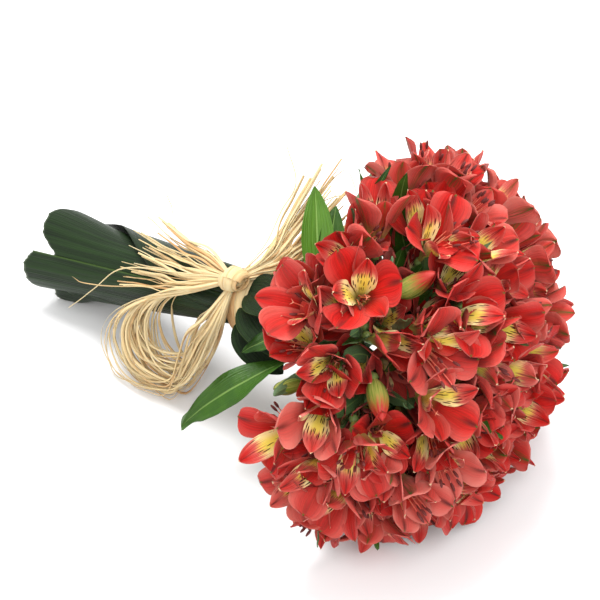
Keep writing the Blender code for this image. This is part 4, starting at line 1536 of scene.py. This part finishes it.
def outer_leaf(across, along):
    """The outer leaf: free edge at the front with a bulging lobe, far edge over the top."""
    near = 0.004 - 0.005 * bump(across, 0.10, 0.10) + ragged(across)
    far = TIE_DISTANCE + TIE_ZONE + 0.006 + 0.038 * bump(across, 0.18, 0.13)
    distance = near + (far - near) * along
    end = blend(OUTER_END_AT_CUT, OUTER_END_AT_TIE, distance / 0.22)
    turn = OUTER_START + (end - OUTER_START) * across
    radius = wrap_radius(distance) + WRAP_PITCH * (turn - OUTER_START) / 360
    # Near the cut end a lobe bulges at the front, with a deep crease just below it.
    open_end = blend(1.0, 0.0, distance / 0.13)
    radius += 0.0050 * bump(turn, 88, 22) * open_end - 0.0100 * bump(turn, 128, 14) * open_end
    # The inner edge is tucked in, and the outer edge stands off a little.
    radius -= 0.0034 * blend(1.0, 0.0, across / 0.05)
    radius += 0.0018 * blend(0.0, 1.0, (across - 0.90) / 0.10) * open_end
    radius += crease(0.0007, turn, 0.21, 0, distance)
    return on_roll(distance, turn, radius)


def inner_leaf(across, along):
    """The inner leaf: a rounded upper lobe at the cut end, hidden below the outer leaf."""
    turn = INNER_START + INNER_TURN * across
    lobe = min(1.1, ((turn - 4) / 46) ** 2)
    near = 0.003 + 0.022 * lobe + ragged(across)
    far = TIE_DISTANCE + TIE_ZONE + 0.001
    distance = near + (far - near) * along
    radius = wrap_radius(distance) - INNER_WRAP_INSET
    open_end = blend(1.0, 0.0, distance / 0.10)
    radius += 0.0090 * bump(turn, -14, 42) * open_end
    radius += crease(0.0006, turn, 0.19, 1, distance)
    return on_roll(distance, turn, radius, INNER_LIFT)


def rolled_sheet(name, place, rows, columns, finish):
    """A closed thin sheet through the points that place gives for shares across and along."""
    spots = {}
    for i in range(rows + 1):
        for j in range(columns + 1):
            spots[i, j] = place(j / columns, i / rows)
    points, alongs, acrosses, front, rear = [], [], [], {}, {}
    for skin, index in ((0.5, front), (-0.5, rear)):
        for (i, j), spot in spots.items():
            border = i in (0, rows) or j in (0, columns)
            if border and index is rear:
                rear[i, j] = front[i, j]
                continue
            down = spots[min(i + 1, rows), j] - spots[max(i - 1, 0), j]
            over = spots[i, min(j + 1, columns)] - spots[i, max(j - 1, 0)]
            normal = over.cross(down).normalized()
            index[i, j] = len(points)
            points.append(spot + normal * (0.0 if border else skin * WRAP_THICKNESS))
            alongs.append(i / rows)
            acrosses.append(2 * j / columns - 1)
    faces = []
    for i in range(rows):
        for j in range(columns):
            corners = ((i, j), (i, j + 1), (i + 1, j + 1), (i + 1, j))
            faces.append([front[corner] for corner in corners])
            faces.append([rear[corner] for corner in reversed(corners)])
    mesh = bpy.data.meshes.new(name)
    mesh.from_pydata(points, [], faces)
    for label, values in (("along", alongs), ("across", acrosses)):
        mesh.attributes.new(label, "FLOAT", "POINT").data.foreach_set("value", values)
    shape = bmesh.new()
    shape.from_mesh(mesh)
    bmesh.ops.recalc_face_normals(shape, faces=shape.faces)
    shape.to_mesh(mesh)
    shape.free()
    mesh.shade_smooth()
    mesh.materials.append(finish)
    return mesh


print("radius of the roll at the tie:", round(wrap_radius(TIE_DISTANCE), 4))

# %% Material and pieces of the rolled leaves
WRAP_DARK = (0.004, 0.009, 0.003)
WRAP_GREEN = (0.014, 0.034, 0.008)
WRAP_EDGE = (0.050, 0.090, 0.020)


def wrap_material():
    made, tree, shader = new_material("wrap_leaf", 0.42, Specular_IOR_Level=0.18)
    along, across = attributes(tree, "along", "across")
    spot = {"Along": along, "Across": across}
    fine = use_group(tree, VEINS, {**spot, "Count": 90.0, "Drift": 3.0})
    broad = use_group(tree, VEINS, {**spot, "Count": 14.0, "Drift": 1.2, "Seed": 4.0})
    share = plus(tree, times(tree, fine, 0.35), times(tree, broad, 0.65))
    green = mixed(tree, share, WRAP_DARK, WRAP_GREEN)
    side_edge = between(tree, across, -0.975, -0.995)
    cut_edge = between(tree, along, 0.010, 0.002)
    colour = mixed(tree, calc(tree, "MAXIMUM", side_edge, cut_edge), green, WRAP_EDGE)
    painted(tree, shader, colour, plus(tree, fine, times(tree, broad, 2.0)), 0.0004)
    return made


WRAP = wrap_material()
ROLL_TIPS = (
    ((0.006, -0.023, 0.096), (0.022, -0.030, 0.091), (0.039, -0.035, 0.084), (0.056, -0.034, 0.073)),
    ((0.006, -0.018, 0.109), (0.026, -0.028, 0.110), (0.046, -0.036, 0.107), (0.068, -0.042, 0.101)),
    ((0.004, -0.012, 0.116), (0.018, -0.016, 0.122), (0.034, -0.022, 0.126), (0.052, -0.030, 0.126)),
)
ROLL_TIP_HALF_WIDTH = 0.0165
ROLLED_LEAVES = (
    ("rolled_leaf_outer", outer_leaf, 90, 110, "wrap_leaf_outer"),
    ("rolled_leaf_inner", inner_leaf, 90, 90, "wrap_leaf_inner"),
)
faces = 0
for name, place, rows, columns, node in ROLLED_LEAVES:
    mesh = rolled_sheet(name, place, rows, columns, WRAP)
    piece(name, mesh, "wrap_leaf_green", node)
    faces += len(mesh.polygons)
piece("rolled_leaf_tips", collar("rolled_leaf_tips", ROLL_TIPS, ROLL_TIP_HALF_WIDTH, WRAP), "wrap_leaf_green")
print("faces in the rolled leaves:", faces)

# %% [markdown]
# ## Raffia
#
# Raffia is dried palm leaf torn into ribbons, cream with golden and tan streaks, stiff enough to
# stand off in loops and frayed ends. Each ribbon is one spline that the tube tree sweeps with a
# flattened circle, so each has its own width, twist and tone. A bunch is many ribbons that follow
# the same guides, each at its own place in the bunch and with its own wandering.

# %% The raffia material and one ribbon
STRAW_CREAM = (0.720, 0.600, 0.360)
STRAW_GOLD = (0.630, 0.420, 0.175)
STRAW_TAN = (0.480, 0.230, 0.090)
KNOT_SIZE = Vector((0.0085, 0.0075, 0.0065))
KNOT_ANGLE = math.radians(28)
BAND_INSET = 0.0037
BAND_THICKNESS = 0.0026
KNOT_GAP = 0.0006
KNOT_UP = round_axis(BUNDLE_ABOVE, KNOT_ANGLE)
KNOT = TIE + KNOT_UP * (WRAP_RADIUS_AT_TIE + BAND_INSET + BAND_THICKNESS + KNOT_GAP + KNOT_SIZE.z)


def raffia_material():
    soft = {"Subsurface_Weight": 0.15, "Subsurface_Radius": (0.002, 0.0015, 0.0008), "Subsurface_Scale": 1.0}
    made, tree, shader = new_material("raffia", 0.62, Specular_IOR_Level=0.35, **soft)
    along, around, tone = attributes(tree, "along", "around", "tone")
    seed = times(tree, tone, 53.0)
    vein_inputs = {"Along": along, "Across": around, "Count": 12.0, "Drift": 6.0, "Seed": seed}
    lines = use_group(tree, VEINS, vein_inputs)
    gold = plus(tree, times(tree, tone, 0.7), times(tree, lines, 0.3))
    straw = mixed(tree, gold, STRAW_CREAM, STRAW_GOLD)
    tan = times(tree, between(tree, tone, 0.55, 0.90), plus(tree, 0.30, times(tree, lines, 0.6)))
    painted(tree, shader, mixed(tree, tan, straw, STRAW_TAN), lines, 0.0004)
    return made


def ribbon(guides, half_width, chance, count=28, wander=0.002, twist=1.5, taper=0.5):
    """One ribbon through its guides, wandering a little more towards its middle."""
    points = smooth_route(guides, count)
    phases = [(chance.uniform(0, math.tau), chance.uniform(0.6, 2.6)) for _ in range(3)]
    turn = chance.uniform(0, math.pi)
    spin = chance.uniform(-twist, twist)
    route = []
    for n, point in enumerate(points):
        share = n / (count - 1)
        loose = wander * math.sin(math.pi * min(1.0, 1.15 * share)) ** 0.7
        shift = Vector([math.sin(phase + math.tau * rate * share) for phase, rate in phases])
        width = half_width * (1 - taper * share**3)
        route.append((point + shift * loose, width, turn + spin * share * math.pi))
    return route


def straw_piece(name, routes, seed, node, flatness=0.30):
    values = {"Sides": 6, "Flatness": flatness, "Seed": seed, "Material": RAFFIA}
    mesh = grown(TUBE, curve_data(routes), values)
    press_on_table(mesh)
    piece(name, mesh, "raffia_straw", node)
    return len(mesh.polygons)


RAFFIA = raffia_material()
print("knot at", tuple(round(value, 4) for value in KNOT))

# %% Band and knot
BAND_TILT = math.radians(5)
BAND_RADIUS = 0.0245
BAND_HALF_SPREAD = 0.0052
BAND_LANES = 5
BAND_RIBBONS = 9
KNOT_HALF_SPREAD = 0.0060
KNOT_REACH = 0.0125
KNOT_RIBBONS = 7
RIBBON_LAYER = 0.0004
RING_TILT = math.pi / 2
RING_STEPS = 40
RING_OVERLAP = 3
CORE_STEPS = (-0.0082, -0.006, -0.003, 0.0, 0.003, 0.006, 0.0082)
CORE_RADIUS = 0.0062
CORE_REACH = 0.0085


def ring_route(centre, axis, start, radii, drift, half_width):
    """A ribbon that goes once round an axis, from the start direction, while it drifts along it."""
    other = axis.cross(start)
    route = []
    for n in range(RING_STEPS + RING_OVERLAP):
        angle = math.tau * n / RING_STEPS
        point = centre + start * (radii[0] * math.cos(angle)) + other * (radii[1] * math.sin(angle))
        route.append((point + axis * (drift * n / RING_STEPS), half_width, RING_TILT))
    return route


def band_routes(chance):
    """Ribbons side by side round the rolled leaves, in lanes and one on top of another."""
    axle = Matrix.Rotation(BAND_TILT, 3, BUNDLE_ABOVE) @ BUNDLE
    top = (BUNDLE_ABOVE - axle * BUNDLE_ABOVE.dot(axle)).normalized()
    band = []
    for n in range(BAND_RIBBONS):
        lane = -BAND_HALF_SPREAD + 2 * BAND_HALF_SPREAD * (n % BAND_LANES) / (BAND_LANES - 1)
        offset = lane + chance.uniform(-0.0006, 0.0006)
        radius = BAND_RADIUS + RIBBON_LAYER * n
        drift = chance.uniform(-0.004, 0.004)
        centre = TIE + axle * (offset - 0.5 * drift)
        half_width = chance.uniform(0.0026, 0.0042)
        band.append(ring_route(centre, axle, top, (radius, radius), drift, half_width))
    return band


def knot_routes(chance):
    """Ribbons wound across the band, wider in the middle, so that they make a round knot."""
    knot = []
    for n in range(KNOT_RIBBONS):
        offset = -KNOT_HALF_SPREAD + 2 * KNOT_HALF_SPREAD * n / (KNOT_RIBBONS - 1)
        swell = math.sqrt(1 - (offset / KNOT_REACH) ** 2)
        layer = RIBBON_LAYER * (n % 2)
        radii = ((KNOT_SIZE.z + 0.0006) * swell + layer, (KNOT_SIZE.y + 0.0014) * swell + layer)
        lean = Matrix.Rotation(chance.uniform(-0.35, 0.0), 3, KNOT_UP) @ BUNDLE
        centre = KNOT + BUNDLE * (offset - 0.001)
        knot.append(ring_route(centre, lean, KNOT_UP, radii, 0.003, chance.uniform(0.0028, 0.0044)))
    return knot


def core_radius(step):
    return CORE_RADIUS * math.sqrt(max(0.02, 1 - (step / CORE_REACH) ** 2))


tie_chance = random.Random(3)
faces = straw_piece("band_ribbons", band_routes(tie_chance), 1, "raffia_band", 0.13)
faces += straw_piece("knot_ribbons", knot_routes(tie_chance), 2, "raffia_knot", 0.18)
core = [(KNOT + BUNDLE * step, core_radius(step)) for step in CORE_STEPS]
knot_core = grown(TUBE, curve_data([core]), {"Sides": 12, "Material": RAFFIA})
piece("knot_core", knot_core, "raffia_straw", "raffia_knot")
print("faces in the band and the knot:", faces + len(knot_core.polygons))

# %% Loops, tails and bow
LOOP_GUIDES = (
    (-0.041, -0.034, 0.107),
    (-0.072, -0.039, 0.089),
    (-0.097, -0.045, 0.064),
    (-0.107, -0.050, 0.037),
    (-0.097, -0.056, 0.015),
    (-0.078, -0.059, 0.0075),
    (-0.058, -0.057, 0.0065),
    (-0.039, -0.054, 0.014),
    (-0.024, -0.049, 0.041),
    (-0.015, -0.043, 0.068),
    (-0.007, -0.040, 0.091),
)
LOOP_NORMAL = Vector((0.1, -0.80, 0.55)).normalized()
LOOP_RIBBONS = 60
LOOP_SIZES = (0.66, 1.04)
LOOP_WIDTHS = (0.0007, 0.0019)
LOOP_LOWEST = 0.0025
LOOP_HEAP = 0.006
WISP_EVERY = 6
WISP_SIZES = (0.98, 1.12)
WISP_WIDTHS = (0.0003, 0.0005)
STRAY_WIDTHS = (0.0003, 0.0008)
TAIL_RIBBONS = 34
TAIL_WIDTHS = (0.0010, 0.0021)
BOW_RIBBONS = 56
BOW_WIDTHS = (0.0014, 0.0030)
SHORTEST_END = 0.60
LONGEST_END = 1.06
INSIDE_KNOT = 0.004
TAIL_FAN = (
    ((-0.055, -0.034, 0.100), (-0.092, -0.036, 0.090), (-0.132, -0.040, 0.078)),
    ((-0.050, 0.004, 0.122), (-0.080, 0.008, 0.122), (-0.108, 0.012, 0.130)),
)
BOW_FAN = (
    ((0.006, 0.012, 0.140), (0.002, 0.045, 0.160), (0.006, 0.082, 0.196)),
    ((0.022, 0.012, 0.128), (0.038, 0.034, 0.136), (0.058, 0.066, 0.156)),
)
STRAY_RIBBONS = (
    ((-0.060, -0.022, 0.110), (-0.1175, -0.032, 0.090), (-0.142, -0.042, 0.062), (-0.168, -0.050, 0.034)),
    ((-0.050, 0.000, 0.118), (-0.085, 0.006, 0.118), (-0.096, 0.012, 0.135), (-0.1044, 0.015, 0.146)),
    ((-0.004, 0.022, 0.140), (-0.010, 0.045, 0.156), (-0.006, 0.062, 0.172), (-0.022, 0.070, 0.198)),
    ((0.012, 0.050, 0.160), (0.020, 0.080, 0.182), (0.034, 0.080, 0.186), (0.052, 0.070, 0.165)),
    ((0.010, 0.050, 0.158), (0.030, 0.075, 0.170), (0.055, 0.070, 0.165), (0.050, 0.060, 0.150)),
    ((-0.070, -0.034, 0.098), (-0.125, -0.045, 0.075), (-0.150, -0.046, 0.068), (-0.165, -0.044, 0.066)),
)


def from_knot(toward):
    """A point inside the knot's side that faces the given point."""
    return KNOT + (Vector(toward) - KNOT).normalized() * INSIDE_KNOT


def loops():
    """Ribbons from the knot down to the table and back, each of its own size; some are thin wisps."""
    chance = random.Random(41)
    routes = []
    for n in range(LOOP_RIBBONS):
        wisp = n % WISP_EVERY == 0
        size = chance.uniform(*WISP_SIZES) if wisp else chance.uniform(*LOOP_SIZES)
        lean = chance.uniform(-0.014, 0.012)
        skew = chance.uniform(-0.10, 0.10)
        apart = Vector((chance.uniform(-0.020, 0.006), chance.uniform(-0.006, 0.006), 0.0))
        guides = [KNOT]
        for k, guide in enumerate(LOOP_GUIDES):
            share = (k + 1) / (len(LOOP_GUIDES) + 1)
            point = KNOT + (Vector(guide) - KNOT) * (size + skew * math.sin(math.tau * share))
            point += LOOP_NORMAL * (lean * math.sin(math.pi * share))
            point += apart * bump(share, 0.82, 0.14)
            point.z = max(point.z, LOOP_LOWEST + LOOP_HEAP * chance.random())
            guides.append(point)
        guides.append(KNOT)
        width = chance.uniform(*WISP_WIDTHS) if wisp else chance.uniform(*LOOP_WIDTHS)
        routes.append(ribbon(guides, width, chance, 48, 0.0025, 1.2, 0.0))
    return routes


def fan(edges, count, seed, widths):
    """Ribbons that leave the knot between two edges of a fan and end at different lengths."""
    chance = random.Random(seed)
    routes = []
    for n in range(count):
        share = min(1.0, max(0.0, (n + chance.uniform(-0.5, 1.5)) / count))
        guides = [Vector(low).lerp(Vector(high), share) for low, high in zip(*edges)]
        reach = chance.uniform(SHORTEST_END, LONGEST_END)
        guides = [guides[0].lerp(guide, reach) for guide in guides]
        lift = Vector([chance.uniform(-0.003, 0.003) for _ in range(3)])
        guides = [from_knot(guides[0])] + [guide + lift * k for k, guide in enumerate(guides)]
        wide = chance.uniform(*widths) * (1.0 if chance.random() > 0.25 else 0.45)
        routes.append(ribbon(guides, wide, chance, 24, 0.0010, 0.6, 0.45))
    return routes


def strays(first, last):
    """Single thin ribbons that go their own way."""
    chance = random.Random(first)
    routes = []
    for guides in STRAY_RIBBONS[first:last]:
        half_width = chance.uniform(*STRAY_WIDTHS)
        routes.append(ribbon((from_knot(guides[0]), *guides), half_width, chance, 30, 0.0015))
    return routes


tails = fan(TAIL_FAN, TAIL_RIBBONS, 7, TAIL_WIDTHS) + strays(0, 2) + strays(5, 6)
bow = fan(BOW_FAN, BOW_RIBBONS, 9, BOW_WIDTHS) + strays(2, 5)
faces = straw_piece("loop_ribbons", loops(), 4, "raffia_loops")
faces += straw_piece("tail_ribbons", tails, 5, "raffia_tails")
faces += straw_piece("bow_ribbons", bow, 6, "raffia_bow")
print("faces in the loops, tails and bow:", faces)

# %% [markdown]
# ## The table
#
# The bouquet lies on a plain white table, which is not part of the object. Its white is slightly
# uneven, as a painted board's is.

# %% The table
TABLE_WHITE = (0.860, 0.860, 0.862)
TABLE_SHADE = (0.830, 0.830, 0.834)
TABLE_HALF_SIDE = 3.0


def table():
    made, tree, shader = new_material("table_paint", 0.6)
    painted(tree, shader, mixed(tree, grain(tree, 6.0, 4.0), TABLE_WHITE, TABLE_SHADE))
    shape = bmesh.new()
    bmesh.ops.create_grid(shape, x_segments=1, y_segments=1, size=TABLE_HALF_SIDE)
    mesh = bpy.data.meshes.new("table")
    shape.to_mesh(mesh)
    shape.free()
    mesh.materials.append(made)
    floor = add_to_scene("table", mesh)
    return floor


print("table:", table().name)
